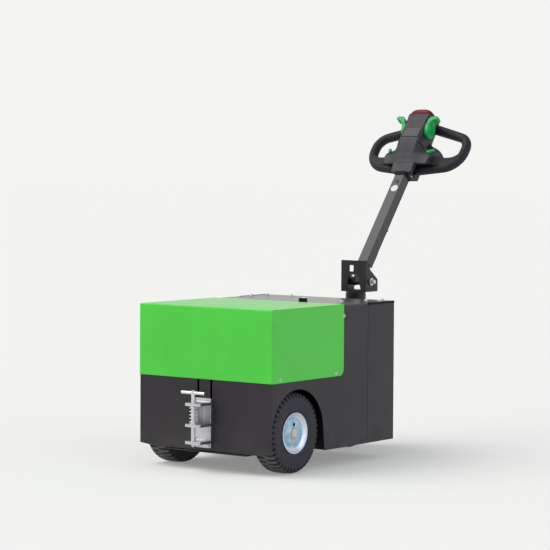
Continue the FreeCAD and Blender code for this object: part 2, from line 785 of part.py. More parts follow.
TILLER = {
    "y": "- front_reach + column_place + pivot_place "
         "+ pivot_drop * sin( tiller_lean ) + pivot_depth * cos( tiller_lean )",
    "z": "pivot_height + pivot_drop * cos( tiller_lean ) - pivot_depth * sin( tiller_lean )",
    "lean": "tiller_lean"}


def make_tiller_tube():
    body = new_body("tiller_tube", **TILLER)
    face = new_sketch(body, "XY_Plane", "tube_start")
    draw_outline(face, rectangle("- tube_size / 2", "tube_size / 2", "- tube_size", "foot_lip", "tube_corner"))
    draw_outline(face, rectangle("- tube_size / 2 + tube_wall", "tube_size / 2 - tube_wall",
                                 "- tube_size + tube_wall", "- tube_back - tube_wall", "1"))
    pad(body, face, "tube_end - tube_start")
    step = new_sketch(body, "YZ_Plane")
    draw_outline(step, rectangle("- tube_back", "foot_lip + 1", "foot_end", "tube_end + 1"))
    pocket(body, step)
    return body


def make_tiller_channel():
    """Folded channel inside the lower end of the tube, with ears on the pivot sleeve."""
    body = new_body("tiller_channel", **TILLER)
    half = "( tube_size / 2 - tube_wall - seat_gap )"
    front = "- tube_size + tube_wall + seat_gap"
    ear = new_sketch(body, "YZ_Plane")
    draw_outline(ear, [
        (front, "channel_length"), ("- channel_back", "channel_length"),
        ("- channel_back", "tube_start - 20"), ("- pivot_depth + ear_radius", "- pivot_drop + 8"),
        ("- pivot_depth + ear_radius", "- pivot_drop - ear_radius", "ear_radius * 0.9"),
        ("- pivot_depth - ear_radius", "- pivot_drop - ear_radius", "ear_radius * 0.9"),
        ("- pivot_depth - ear_radius", "12"), (front, "tube_start - 22")])
    pad(body, ear, "2 * " + half, symmetric=True)
    inside = new_sketch(body, "XY_Plane", "- pivot_drop - ear_radius - 5")
    draw_outline(inside, rectangle("- %s + channel_sheet" % half, half + " - channel_sheet",
                                   front + " + channel_sheet", "ear_radius"))
    pocket(body, inside, "channel_length + ear_radius + 15", backwards=True)
    sleeve = new_sketch(body, "YZ_Plane")
    draw_circle(sleeve, "- pivot_depth", "- pivot_drop", "pivot_radius + 5")
    pad(body, sleeve, "bracket_width - 2 * bracket_sheet - 2", symmetric=True)
    bore = new_sketch(body, "YZ_Plane")
    draw_circle(bore, "- pivot_depth", "- pivot_drop", "pivot_radius + running_gap")
    pocket(body, bore)
    return body


def make_head_housing():
    """Moulded head: a wedge that rises over the tube, front shoulders and a shell round the loops."""
    body = new_body("head_housing", **TILLER)
    side = new_sketch(body, "YZ_Plane")
    draw_outline(side, [
        ("- head_front_low", "head_low"), ("- head_lip", "head_low"), ("- head_lip", "shoulder_low"),
        ("head_back", "shoulder_low", "8"), ("head_back", "head_high"), ("- head_front_high + 5", "head_high"),
        ("- head_front_high", "head_high - 110", "60"), ("- shoulder_front - 2", "shoulder_high - 20", "60")])
    pad(body, side, "shoulder_width", symmetric=True)
    flank = new_sketch(body, "XZ_Plane")
    for sign in ("", "-"):
        draw_outline(flank, [
            (sign + " head_tongue / 2", "head_low - 5"), (sign + " shoulder_width", "head_low - 5"),
            (sign + " shoulder_width", "head_high + 20"), (sign + " head_tip / 2", "head_high + 20"),
            (sign + " head_tip / 2", "thumb_place - thumb_radius - 3"),
            (sign + " head_neck / 2", "shoulder_high + 30"), (sign + " head_tongue / 2", "shoulder_low + 2")])
    pocket(body, flank)
    arms = new_sketch(body, "XZ_Plane", "shoulder_front")
    draw_outline(arms, [
        ("- shoulder_width / 2", "shoulder_low"), ("shoulder_width / 2", "shoulder_low"),
        ("shoulder_width / 2", "shoulder_high", "8"), ("head_neck / 2 - 2", "shoulder_high + 34", "12"),
        ("- head_neck / 2 + 2", "shoulder_high + 34", "12"), ("- shoulder_width / 2", "shoulder_high", "8")])
    pad(body, arms, "shoulder_front", backwards=True)
    shell = new_sketch(body, "XZ_Plane", "shell_front")
    draw_outline(shell, [
        ("- shoulder_width / 2", "shell_low"), ("shoulder_width / 2", "shell_low"),
        ("shoulder_width / 2", "shell_side"), ("head_neck / 2 - 4", "shell_flank", "12"),
        ("head_neck / 2 - 4", "shell_high", "10"), ("- head_neck / 2 + 4", "shell_high", "10"),
        ("- head_neck / 2 + 4", "shell_flank", "12"), ("- shoulder_width / 2", "shell_side")])
    pad(body, shell, "shell_front + shell_back", backwards=True)
    well = new_sketch(body, "XY_Plane", "head_low - 5")
    draw_outline(well, rectangle("- tube_size / 2", "tube_size / 2", "- tube_size", "- tube_back"))
    pocket(body, well, "tube_end - head_low + 5", backwards=True)
    return body


def make_handle_loop(name, side):
    """One hand loop: a round grip tube and, inside its lower bend, a moulded web."""
    body = new_body(name, **TILLER)
    path = new_sketch(body, "XZ_Plane", "- loop_place")
    start = "%s * head_tip / 2" % side
    finish = "%s * ( shoulder_width / 2 - 12 )" % side
    out = "%s * loop_half_width" % side
    draw_outline(path, [
        (start, "loop_upper"), (out, "loop_shoulder", "loop_upper_bend"), (out, "loop_hip", "loop_lower_bend"),
        (finish, "loop_lower + 4")], closed=False)
    ring = new_sketch(body, "YZ_Plane", start)
    draw_circle(ring, "loop_place", "loop_upper", "loop_tube / 2")
    pipe = body.newObject("PartDesign::AdditivePipe", name + "_pipe")
    pipe.Profile = ring
    pipe.Spine = (path, ["Edge%d" % (number + 1) for number in range(5)])
    document.recompute()
    web = new_sketch(body, "XZ_Plane", "loop_tube / 2 - loop_place - 3")
    edge = "%s * shoulder_width / 2" % side
    draw_outline(web, [
        (edge, "loop_lower + 4"), ("%s * web_reach" % side, "loop_lower + 22"),
        ("%s * ( web_reach + 14 )" % side, "web_top", "6"), ("%s * ( shoulder_width / 2 + 19 )" % side, "web_top", "8"),
        (edge, "shell_side")])
    pad(body, web, "loop_tube - 6", backwards=True)
    trim = new_sketch(body, "XZ_Plane")
    draw_outline(trim, rectangle("- shoulder_width / 2", "shoulder_width / 2",
                                 "loop_lower - loop_tube", "shell_side + 20"))
    pocket(body, trim)
    return body


def make_thumb_wheel(name, side):
    """Rotary drive control: a round hub beside the head, with a wing that flares outwards."""
    body = new_body(name, **TILLER)
    flank = "%s * head_tip / 2" % side
    hub = new_sketch(body, "YZ_Plane", flank)
    draw_circle(hub, "- thumb_front", "thumb_place", "thumb_radius")
    pad(body, hub, "thumb_width", backwards=side == "-1")
    wing = new_sketch(body, "XZ_Plane", "thumb_front + 8")
    draw_outline(wing, [
        (flank, "thumb_place"), ("%s * ( head_tip / 2 + thumb_width )" % side, "thumb_place"),
        ("%s * ( thumb_tip - 26 )" % side, "thumb_high - 26", "8"), ("%s * thumb_tip" % side, "thumb_high - 24", "6"),
        ("%s * thumb_tip" % side, "thumb_high - 8", "6"), ("%s * ( thumb_tip - 30 )" % side, "thumb_high", "8"),
        (flank, "thumb_high - 4")])
    pad(body, wing, "thumb_depth")
    return body


def make_head_bracket():
    """Black folded bracket that carries the head behind the tube."""
    body = new_body("head_bracket", **TILLER)
    side = new_sketch(body, "YZ_Plane")
    draw_outline(side, [
        ("- tube_back", "shoulder_low - 5"), ("bracket_depth", "shoulder_low - 5", "3"),
        ("bracket_depth", "shoulder_low + 26", "5"), ("shell_back", "shoulder_low + 26"),
        ("shell_back", "shoulder_low"), ("- tube_back", "shoulder_low")])
    pad(body, side, "tube_size - 4", symmetric=True)
    return body


def make_belly_button():
    """Red safety button that caps the head's upper end."""
    body = new_body("belly_button", **TILLER)
    face = new_sketch(body, "XY_Plane", "head_high")
    draw_outline(face, rectangle("- head_tip / 2 + 1", "head_tip / 2 - 1",
                                 "- head_front_high + 5", "head_back - 4", "24"))
    pad(body, face, "button_height")
    round_edges(body, "button_height * 0.7", lambda edge: body_height(edge) > value("head_high + button_height") - 1)
    return body


def build():
    """Make every piece, in the order in which the tug is put together."""
    make_green_cover()
    make_front_panel()
    make_side_panel("side_panel_right", "1")
    make_side_panel("side_panel_left", "-1")
    make_rear_cover()
    make_deck_plate()
    make_floor_pan()
    mirrored("wheel_box_left", make_wheel_box())
    make_transaxle()
    make_battery()
    for name, side in (("right", "1"), ("left", "-1")):
        make_tyre("tyre_" + name, "%s * wheel_track / 2" % side, WHEEL,
                  "tyre_diameter / 2", "tyre_width", "rim_well", "2 * tyre_width * 0.36")
        make_rim("rim_" + name, side)
        make_half_shaft("half_shaft_" + name, side)
    make_tow_jaw()
    make_tow_pin()
    make_tow_pin_handle()
    make_ring("tow_pin_collar", "ear_mid_place + ear_sheet + seat_gap", "pin_collar_height",
              "pin_collar_radius", "pin_radius", PIN)
    make_ring("tow_pin_spring", "ear_mid_place + ear_sheet + seat_gap + pin_collar_height",
              "ear_top_place - ear_mid_place - ear_sheet - pin_collar_height - 2 * seat_gap",
              "spring_radius", "spring_radius - spring_wire", PIN)
    make_steering_carrier()
    make_ring("column_housing", "column_low", "column_high - column_low", "column_radius",
              "steer_shaft_radius + running_gap", COLUMN)
    make_steering_shaft()
    make_castor_fork()
    make_castor_axle()
    make_castor_rim()
    make_tyre("castor_tyre", "0", CASTOR, "castor_diameter / 2", "castor_width",
              "castor_rim_radius", "castor_width * 0.8")
    make_steering_bracket()
    make_pivot_pin()
    make_tiller_tube()
    make_tiller_channel()
    make_head_housing()
    make_head_bracket()
    for name, side in (("right", "1"), ("left", "-1")):
        make_handle_loop("handle_loop_" + name, side)
        make_thumb_wheel("thumb_wheel_" + name, side)
    make_belly_button()


def check_and_write():
    """Stop on any failed object, then write one file for each piece."""
    document.recompute()
    for item in document.Objects:
        if "Invalid" in item.State or "Error" in item.State:
            raise ValueError("%s failed" % item.Label)
    for piece in pieces:
        if piece.Shape.isNull() or not piece.Shape.isValid():
            raise ValueError("%s has no sound shape" % piece.Label)
    os.makedirs("parts", exist_ok=True)
    for piece in pieces:
        piece.Shape.exportStep(os.path.join("parts", piece.Label + ".step"))
        print("%-22s solids %d volume %.0f" % (piece.Label, len(piece.Shape.Solids), piece.Shape.Volume))


build()
check_and_write()
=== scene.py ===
"""Fine pieces and finishes of an electric tow tug, laid out as a Blender add-on.

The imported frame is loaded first.  Lengths in the file are metres, in the frame's own axes:
+X to the right, +Y towards the tiller, +Z up.  Tables of points and sizes of bolts are
millimetres.
"""

import math

import bmesh
import bpy
from mathutils import Matrix, Vector


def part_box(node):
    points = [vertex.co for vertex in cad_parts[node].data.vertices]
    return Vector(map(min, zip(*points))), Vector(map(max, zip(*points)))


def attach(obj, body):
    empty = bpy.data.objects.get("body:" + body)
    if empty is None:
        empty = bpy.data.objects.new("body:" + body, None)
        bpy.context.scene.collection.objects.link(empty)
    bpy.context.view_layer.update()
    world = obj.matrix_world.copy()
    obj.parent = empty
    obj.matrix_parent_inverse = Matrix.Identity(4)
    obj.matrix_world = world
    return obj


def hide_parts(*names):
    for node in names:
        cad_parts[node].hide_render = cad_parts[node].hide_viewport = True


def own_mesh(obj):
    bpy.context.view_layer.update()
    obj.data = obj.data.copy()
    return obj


bl_info = {
    "name": "Electric tow tug",
    "version": (1, 0, 0),
    "blender": (4, 5, 0),
    "location": "3D View > Sidebar > Tow Tug",
    "description": "Fine pieces, finishes and a studio for an electric tow tug",
    "category": "Object",
}

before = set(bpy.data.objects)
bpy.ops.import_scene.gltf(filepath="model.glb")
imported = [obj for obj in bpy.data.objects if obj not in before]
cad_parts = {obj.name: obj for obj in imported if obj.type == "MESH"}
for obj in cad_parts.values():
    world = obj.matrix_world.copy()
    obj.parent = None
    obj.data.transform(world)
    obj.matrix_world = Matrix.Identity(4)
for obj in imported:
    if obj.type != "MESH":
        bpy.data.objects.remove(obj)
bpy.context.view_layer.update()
MM = 0.001
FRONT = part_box("green_cover")[0].y  # front face of the green cover
LEAN = math.radians(37.7)  # lean of the tiller at rest
TURN = 2 * math.pi
SIDES = (("right", 1), ("left", -1))
TILLER_FOOT = (14.1, 4.6)  # from the pivot pin to the tiller's origin


def at(x, y, z):
    """A point in millimetres: from the middle, behind the cover's front face, above the floor."""
    return Vector((x * MM, FRONT + y * MM, z * MM))


def mm(x, y, z):
    """A vector given in millimetres."""
    return Vector((x, y, z)) * MM


def middle(node):
    low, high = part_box(node)
    return (low + high) / 2


def tiller_frame():
    """Axes that lean with the tiller: X right, Y to the tube's rear, Z along the tube."""
    rear = Vector((0, math.cos(LEAN), -math.sin(LEAN)))
    along = Vector((0, math.sin(LEAN), math.cos(LEAN)))
    foot = middle("tiller_pivot_pin") + (TILLER_FOOT[0] * rear + TILLER_FOOT[1] * along) * MM
    axes = Matrix((Vector((1, 0, 0)), rear, along)).transposed().to_4x4()
    return Matrix.Translation(foot) @ axes


TILLER = tiller_frame()


# ---------------------------------------------------------------- sizes and colours to change

def colour(name, description, *default):
    """A colour to change."""
    return bpy.props.FloatVectorProperty(
        name=name, description=description, subtype="COLOR", size=3, min=0, max=1, default=default)


def number(name, description, low, high, default, **more):
    """A number to change."""
    return bpy.props.FloatProperty(
        name=name, description=description, min=low, max=high, default=default, **more)


class TugPaint(bpy.types.PropertyGroup):
    """Colours and wear of the painted sheet metal."""
    cover: colour("Cover", "Powder coat of the front cover", 0.0480, 0.515, 0.031)
    panels: colour("Panels", "Powder coat of the body panels", 0.0125, 0.0085, 0.0132)
    bracket: colour("Bracket", "Powder coat of the steering bracket", 0.0060, 0.0055, 0.0058)
    tube: colour("Tube", "Powder coat of the tiller tube", 0.029, 0.027, 0.030)
    wear: number("Wear", "How much of each sheet edge is rubbed", 0, 1, 0.16, subtype="FACTOR")
    edge: number("Edge rounding", "Radius that the light sees on a sheet edge", 0.0001, 0.005,
                 0.0012, unit="LENGTH")


class TugWheels(bpy.types.PropertyGroup):
    """Sizes of the drive wheels' tread and finish."""
    lugs: bpy.props.IntProperty(
        name="Lugs", description="Lugs in each of the two rows", min=12, max=72, default=42)
    groove: number("Groove width", "Share of a lug's pitch that the groove takes", 0.1, 0.45,
                   0.34, subtype="FACTOR")
    rubber: colour("Rubber", "Colour of the tyres", 0.018, 0.0175, 0.026)
    # the tread blocks are lighter than the sidewall: scuffed rubber, and partly painted light where
    # light falls on them
    tread: colour("Tread", "Colour of the scuffed tread blocks", 0.080, 0.075, 0.079)
    plating: colour("Rim plating", "Tint of the plated rims", 0.17, 0.40, 0.61)


class TugHead(bpy.types.PropertyGroup):
    """Sizes and colours of the tiller head."""
    housing: colour("Housing", "Moulded housing", 0.025, 0.021, 0.028)
    grips: colour("Grips", "Soft hand loops", 0.0140, 0.0125, 0.0170)
    controls: colour("Controls", "Thumb wings and rocker buttons", 0.006, 0.340, 0.072)
    button: colour("Safety button", "Domed safety button", 0.160, 0.006, 0.011)
    voxel: number("Moulding step", "Cell size used to round the thumb wings", 0.0008, 0.005,
                  0.0011, unit="LENGTH")


class TugStudio(bpy.types.PropertyGroup):
    """Light and background."""
    pale: colour("Background", "Pale background and floor light", 0.898, 0.906, 0.886)
    sun: number("Sun strength", "Soft light from the front left", 0, 5, 0.9)
    lens: number("Lens", "Focal length of the camera", 20, 300, 146.09, unit="CAMERA")


# ---------------------------------------------------------------- meshes

def ring(radius, height, steps, sides=0):
    """Points round Z, from millimetres: a circle, or a regular polygon with that many sides."""
    points = []
    for number in range(steps):
        angle = TURN * number / steps
        reach = radius * MM
        if sides:
            half = math.pi / sides
            reach *= math.cos(half) / math.cos(angle % (2 * half) - half)
        points.append(Vector((reach * math.cos(angle), reach * math.sin(angle), height * MM)))
    return points


def placed(where, rings):
    return [[where @ point for point in points] for points in rings]


def skin(shape, rings, wrap=False, index=0):
    """Join rings of points.  With wrap the last joins the first, else both ends are capped."""
    made = [[shape.verts.new(point) for point in points] for points in rings]
    following = made[1:] + made[:1] if wrap else made[1:]
    faces = []
    for near, far in zip(made, following):
        for number, vertex in enumerate(near):
            after = (number + 1) % len(near)
            faces.append(shape.faces.new((vertex, near[after], far[after], far[number])))
    if not wrap:
        faces.append(shape.faces.new(made[0][::-1]))
        faces.append(shape.faces.new(made[-1]))
    for face in faces:
        face.material_index = index
    return faces


def turned(shape, profile, where, steps=48, wrap=False, index=0):
    """Turn a profile of (place along the axis, radius) in millimetres about the Z axis of where."""
    rings = [ring(radius, place, steps) for place, radius in profile]
    return skin(shape, placed(where, rings), wrap, index)


def swept(shape, stations, steps):
    """Join ellipses.  A station is the centre and the two half axes of one."""
    angles = [TURN * step / steps for step in range(steps)]
    skin(shape, [[centre + first * math.cos(angle) + second * math.sin(angle)
                  for angle in angles] for centre, first, second in stations])


def prism(shape, profile, ends, axis):
    """Extrude a profile in millimetres between two places on axis 0, 1 or 2."""
    skin(shape, [[mm(*pair[:axis], end, *pair[axis:]) for pair in profile] for end in ends])


def smoothed(points, parts):
    """Points of a smooth curve through the given ones, as tuples of any length."""
    rows = []
    for number in range(len(points) - 1):
        before, start, end, after = (points[min(max(number + shift, 0), len(points) - 1)]
                                     for shift in (-1, 0, 1, 2))
        for part in range(parts):
            t = part / parts
            rows.append(tuple(
                0.5 * (2 * b + (c - a) * t + (2 * a - 5 * b + 4 * c - d) * t * t
                       + (3 * b - a - 3 * c + d) * t ** 3)
                for a, b, c, d in zip(before, start, end, after)))
    return rows + [tuple(points[-1])]


def slab(shape, outline, layers, index=0):
    """Moulding with an anticlockwise outline in the tiller's X and Z.

    Layers are (y, distance that the outline is drawn in), front first.
    """
    rings = []
    for across, distance in layers:
        points = []
        for number, (x, z) in enumerate(outline):
            ahead, before = outline[(number + 1) % len(outline)], outline[number - 1]
            run = Vector((ahead[0] - before[0], ahead[1] - before[1])).normalized()
            points.append(mm(x - run.y * distance, across, z + run.x * distance))
        rings.append(points)
    return skin(shape, rings, index=index)


def solid(make, *sizes, **more):
    """A new shape that holds what a function that takes a shape first puts into it."""
    shape = bmesh.new()
    make(shape, *sizes, **more)
    return shape


def facing(place, direction, roll=0.0):
    """Matrix at a place with its Z axis along a direction."""
    turn = Vector(direction).to_track_quat("Z", "Y").to_matrix().to_4x4()
    return Matrix.Translation(place) @ turn @ Matrix.Rotation(roll, 4, "Z")


def soften(mesh, degrees):
    """Smooth shading with edges sharper than the angle kept crisp."""
    shape = bmesh.new()
    shape.from_mesh(mesh)
    bmesh.ops.recalc_face_normals(shape, faces=shape.faces)
    limit = math.radians(degrees)
    for face in shape.faces:
        face.smooth = True
    for edge in shape.edges:
        edge.smooth = len(edge.link_faces) == 2 and edge.calc_face_angle(0) < limit
    shape.to_mesh(mesh)
    shape.free()


def new_object(name, shape, where=None):
    mesh = bpy.data.meshes.new(name)
    bmesh.ops.recalc_face_normals(shape, faces=shape.faces)
    shape.to_mesh(mesh)
    shape.free()
    made = bpy.data.objects.new(name, mesh)
    bpy.context.scene.collection.objects.link(made)
    if where is not None:
        mesh.transform(where)
    return made


def settle(piece):
    """Apply the piece's modifiers to its mesh."""
    bpy.context.view_layer.update()
    graph = bpy.context.evaluated_depsgraph_get()
    mesh = bpy.data.meshes.new_from_object(piece.evaluated_get(graph))
    piece.modifiers.clear()
    piece.data = mesh


def fuse(piece, voxel, passes):
    """Melt overlapping solids into one moulding with rounded edges."""
    remesh = piece.modifiers.new("fuse", "REMESH")
    remesh.mode = "VOXEL"
    remesh.voxel_size = voxel
    smooth = piece.modifiers.new("round", "SMOOTH")
    smooth.factor = 0.5
    smooth.iterations = passes
    settle(piece)


def cut(piece, shape, operation="DIFFERENCE", where=None):
    """Take a solid out of the piece, or keep only what both share."""
    tool = new_object("tool", shape, where)
    boolean = piece.modifiers.new("cut", "BOOLEAN")
    boolean.operation = operation
    boolean.solver = "EXACT"
    boolean.object = tool
    settle(piece)
    bpy.data.objects.remove(tool)


def finish_piece(piece, finishes, body, slot, degrees=35, stands_for=()):
    """Shade a piece, give it its finishes and join it to its body."""
    soften(piece.data, degrees)
    for name in finishes.split()[len(piece.data.materials):]:
        piece.data.materials.append(FINISHES[name])
    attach(piece, body)
    if stands_for:
        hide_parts(*stands_for)
    return piece


def add_piece(name, shape, finishes, body, slot, **more):
    """Make a finished piece.  Those of the tiller are drawn upright and lean with it."""
    made = new_object(name, shape, TILLER if body == "tiller" else None)
    return finish_piece(made, finishes, body, slot, **more)


# heads of bolts, from the seat up: share of the radius, share of the height, and the
# sides of the outline there, 0 for a circle
HEXAGON = ((1, 0, 6), (1, 0.72, 6), (0.965, 0.86, 6), (0.86, 1, 0), (0.5, 1, 0))
SOCKET = ((1, 0, 0), (1, 0.25, 0), (0.92, 0.62, 0), (0.74, 0.9, 0), (0.55, 1, 0), (0.46, 1, 6),
          (0.44, 0.35, 6))


def bolt_head(shape, where, radius, height, levels=HEXAGON, steps=48, lift=0.0):
    """Head of a bolt, lifted off its seat by the thickness of its washer."""
    rings = [ring(share * radius, level * height, steps, sides) for share, level, sides in levels]
    skin(shape, placed(where @ Matrix.Translation((0, 0, lift * MM)), rings))


def bolt(shape, where, washer, thick, radius, height, bore=4.0, chamfer=0.3, steps=36):
    """Hexagon bolt on a washer with a broken edge."""
    top = thick + chamfer
    turned(shape, ((0, washer), (thick, washer), (top, washer - 0.4), (top, bore)), where, steps)
    bolt_head(shape, where, radius, height, lift=thick + 0.2)


# ---------------------------------------------------------------- shader nodes

def put(tree, kind, values=None, **settings):
    """Add a node.  A value may be another node's output, which is then linked."""
    made = tree.nodes.new("ShaderNode" + kind)
    for name, setting in settings.items():
        setattr(made, name, setting)
    for name, value in (values or {}).items():
        if isinstance(value, bpy.types.NodeSocket):
            tree.links.new(value, made.inputs[name])
        else:
            made.inputs[name].default_value = value
    return made


def spread(tree, value, low, high, start=0.0, end=1.0):
    """Map low..high of a value to start..end, held at both ends."""
    values = {"Value": value, "From Min": low, "From Max": high, "To Min": start, "To Max": end}
    return put(tree, "MapRange", values).outputs["Result"]


def times(tree, first, second):
    return put(tree, "Math", {0: first, 1: second}, operation="MULTIPLY").outputs[0]


def larger(tree, first, second):
    return put(tree, "Math", {0: first, 1: second}, operation="MAXIMUM").outputs[0]


def dot(tree, first, second):
    """Cosine between two directions."""
    made = put(tree, "VectorMath", {0: first, 1: second}, operation="DOT_PRODUCT")
    return made.outputs["Value"]


def blend(tree, factor, first, second):
    """Mix two colours by a factor."""
    made = put(tree, "Mix", {0: factor}, data_type="RGBA")
    for socket, shade in ((made.inputs[6], first), (made.inputs[7], second)):
        if isinstance(shade, bpy.types.NodeSocket):
            tree.links.new(shade, socket)
        else:
            socket.default_value = (*shade, 1.0)
    return made.outputs[2]


def object_place(tree):
    return put(tree, "TexCoord").outputs["Object"]


def noise(tree, scale, detail=2.0, roughness=0.5, where=None):
    values = {"Scale": scale, "Detail": detail, "Roughness": roughness,
              "Vector": where or object_place(tree)}
    return put(tree, "TexNoise", values).outputs["Fac"]


def start_group(name, **inputs):
    """An empty node group and its inputs."""
    tree = bpy.data.node_groups.new(name, "ShaderNodeTree")
    for label, value in inputs.items():
        socket = tree.interface.new_socket(label, in_out="INPUT", socket_type="NodeSocketFloat")
        socket.default_value = value
    return tree, tree.nodes.new("NodeGroupInput").outputs


def end_group(tree, **outputs):
    """Give a node group its outputs."""
    for label, value in outputs.items():
        kind = "NodeSocketVector" if value.type == "VECTOR" else "NodeSocketFloat"
        tree.interface.new_socket(label, in_out="OUTPUT", socket_type=kind)
    result = tree.nodes.new("NodeGroupOutput").inputs
    for label, value in outputs.items():
        tree.links.new(value, result[label])


def group(tree, name, **values):
    """Place a node group and set its inputs."""
    made = put(tree, "Group", node_tree=bpy.data.node_groups[name])
    for label, value in values.items():
        made.inputs[label].default_value = value
    return made.outputs


def make_coat_group():
    """Powder coat: fine orange peel and a broad, faint change of shade."""
    tree, given = start_group("Coat", Scale=700.0)
    end_group(tree, Height=noise(tree, given["Scale"], 3.0), Shade=noise(tree, 6.0, 4.0))


def make_wear_group():
    """Rounded edges for the light, and the broken line where such edges are rubbed."""
    tree, given = start_group("Wear", Width=0.001)
    bevel = put(tree, "Bevel", {"Radius": given["Width"]}, samples=6).outputs[0]
    agree = dot(tree, bevel, put(tree, "NewGeometry").outputs["True Normal"])
    edge = spread(tree, agree, 0.97, 0.86)
    broken = spread(tree, noise(tree, 90.0, 5.0, 0.7), 0.50, 0.62)
    end_group(tree, Mask=times(tree, edge, broken), Normal=bevel)


def make_dust_and_sheen_group():
    """Dust that lies on upward faces and clings near the floor; on the cover the upward part is a
    painted sheen.
    """
    tree, given = start_group("DustAndSheen", Top=0.3, Low=0.3)
    geometry = put(tree, "NewGeometry").outputs
    up = put(tree, "SeparateXYZ", {0: geometry["Normal"]}).outputs["Z"]
    height = put(tree, "SeparateXYZ", {0: geometry["Position"]}).outputs["Z"]
    patches = spread(tree, noise(tree, 14.0, 6.0, 0.6), 0.35, 0.75)
    top = times(tree, times(tree, spread(tree, up, 0.6, 1.0), patches), given["Top"])
    low = times(tree, times(tree, spread(tree, height, 0.20, 0.02), patches), given["Low"])
    end_group(tree, Mask=larger(tree, top, low))


def make_plating_group():
    """Plated steel: cloudy tint, fine drawing lines along X and small pits."""
    tree, given = start_group("Plating", Scale=60.0)
    place = object_place(tree)
    stretched = put(tree, "VectorMath", {0: place, 1: (1.0, 14.0, 14.0)},
                    operation="MULTIPLY").outputs[0]
    lines = noise(tree, 60.0, 3.0, where=stretched)
    pits = put(tree, "TexVoronoi", {"Scale": 500.0, "Vector": place}).outputs["Distance"]
    end_group(tree, Cloud=noise(tree, given["Scale"], 5.0, 0.6), Lines=lines,
              Height=times(tree, spread(tree, pits, 0.0, 0.25), lines))


def make_mould_group():
    """Moulded plastic or rubber: a pebbled grain and patches rubbed smooth."""
    tree, given = start_group("Mould", Scale=900.0)
    values = {"Scale": given["Scale"], "Vector": object_place(tree), "Smoothness": 0.6}
    cells = put(tree, "TexVoronoi", values, feature="SMOOTH_F1").outputs["Distance"]
    end_group(tree, Height=cells, Rub=spread(tree, noise(tree, 22.0, 5.0, 0.65), 0.3, 0.7))


def start_material(name):
    """A new material and its empty node tree."""
    made = bpy.data.materials.new(name)
    made.use_nodes = True
    made.node_tree.nodes.clear()
    return made, made.node_tree


def close_material(made, colours, rough, normal, **values):
    """Add the Principled shader and the output.  Other inputs have underscores for blanks."""
    inputs = {name.replace("_", " "): value for name, value in values.items()}
    inputs.update({"Base Color": colours, "Roughness": rough, "Normal": normal})
    shader = put(made.node_tree, "BsdfPrincipled", inputs)
    put(made.node_tree, "OutputMaterial", {"Surface": shader.outputs[0]})
    return made


def bump(tree, height, strength, distance, normal=None):
    values = {"Height": height, "Strength": strength, "Distance": distance}
    if normal is not None:
        values["Normal"] = normal
    return put(tree, "Bump", values).outputs[0]


def lighter(tint, share):
    return tuple(min(1.0, value * share) for value in tint)


def coated(name, tint, roughness, grain=700.0, wear=0.3, top=0.25, low=0.08, specular=0.27,
           sheen=0.25, dust_and_sheen_tint=(0.34, 0.32, 0.30)):
    """Powder-coated sheet metal, with dust on the faces that look up; on the cover that tint is a
    painted sheen.
    """
    made, tree = start_material(name)
    coat = group(tree, "Coat", Scale=grain)
    edges = group(tree, "Wear", Width=bpy.context.scene.tug_paint.edge)
    dust_and_sheen = group(tree, "DustAndSheen", Top=top, Low=low)
    shade = spread(tree, coat["Shade"], 0.25, 0.75)
    colours = blend(tree, shade, lighter(tint, 0.93), lighter(tint, 1.07))
    # upward faces and the foot take the tint: dust, and on the cover a painted sheen
    colours = blend(tree, dust_and_sheen["Mask"], colours, dust_and_sheen_tint)
    colours = blend(tree, times(tree, edges["Mask"], wear), colours, (0.42, 0.42, 0.43))
    rough = spread(tree, coat["Shade"], 0.2, 0.8, roughness - 0.04, roughness + 0.06)
    normal = bump(tree, coat["Height"], 0.22, 0.0003, edges["Normal"])
    return close_material(made, colours, rough, normal, Specular_IOR_Level=specular,
                          Coat_Weight=sheen, Coat_Roughness=0.18)


def plated(name, tint, warm, roughness, scale=60.0, low=0.2):
    """Zinc-plated or machined steel."""
    made, tree = start_material(name)
    plating = group(tree, "Plating", Scale=scale)
    edges = group(tree, "Wear", Width=0.0008)
    dust_and_sheen = group(tree, "DustAndSheen", Top=0.15, Low=low)
    colours = blend(tree, spread(tree, plating["Cloud"], 0.35, 0.65), tint, warm)
    drawn = spread(tree, plating["Lines"], 0.3, 0.7, 0.0, 0.25)
    colours = blend(tree, drawn, colours, lighter(tint, 0.6))
    colours = blend(tree, dust_and_sheen["Mask"], colours, (0.30, 0.27, 0.24))
    rough = spread(tree, plating["Lines"], 0.3, 0.7, roughness - 0.06, roughness + 0.10)
    normal = bump(tree, plating["Height"], 0.25, 0.0002, edges["Normal"])
    return close_material(made, colours, rough, normal, Metallic=1.0)


def moulded(name, tint, roughness, grain=900.0, depth=0.0002, top=0.06, specular=0.3, sheen=0.0):
    """Moulded plastic or rubber."""
    made, tree = start_material(name)
    mould = group(tree, "Mould", Scale=grain)
    dust_and_sheen = group(tree, "DustAndSheen", Top=top, Low=0.0)
    colours = blend(tree, mould["Rub"], lighter(tint, 0.9), lighter(tint, 1.1))
    colours = blend(tree, dust_and_sheen["Mask"], colours, (0.36, 0.34, 0.32))
    rough = spread(tree, mould["Rub"], 0.0, 1.0, roughness + 0.05, roughness - 0.05)
    return close_material(made, colours, rough, bump(tree, mould["Height"], 0.3, depth),
                          Specular_IOR_Level=specular, Coat_Weight=sheen, Coat_Roughness=0.18)


def rubber(name, tint):
    """Tyre rubber: matte, scuffed a little browner, with a fine mould texture."""
    made, tree = start_material(name)
    mould = group(tree, "Mould", Scale=500.0)
    scuffs = noise(tree, 45.0, 6.0, 0.7)
    brown = spread(tree, scuffs, 0.4, 0.75, 0.0, 0.5)
    colours = blend(tree, brown, tint, (0.055, 0.050, 0.048))
    rough = spread(tree, scuffs, 0.3, 0.7, 0.52, 0.78)
    return close_material(made, colours, rough, bump(tree, mould["Height"], 0.25, 0.0003),
                          Specular_IOR_Level=0.4)


FINISHES = {}

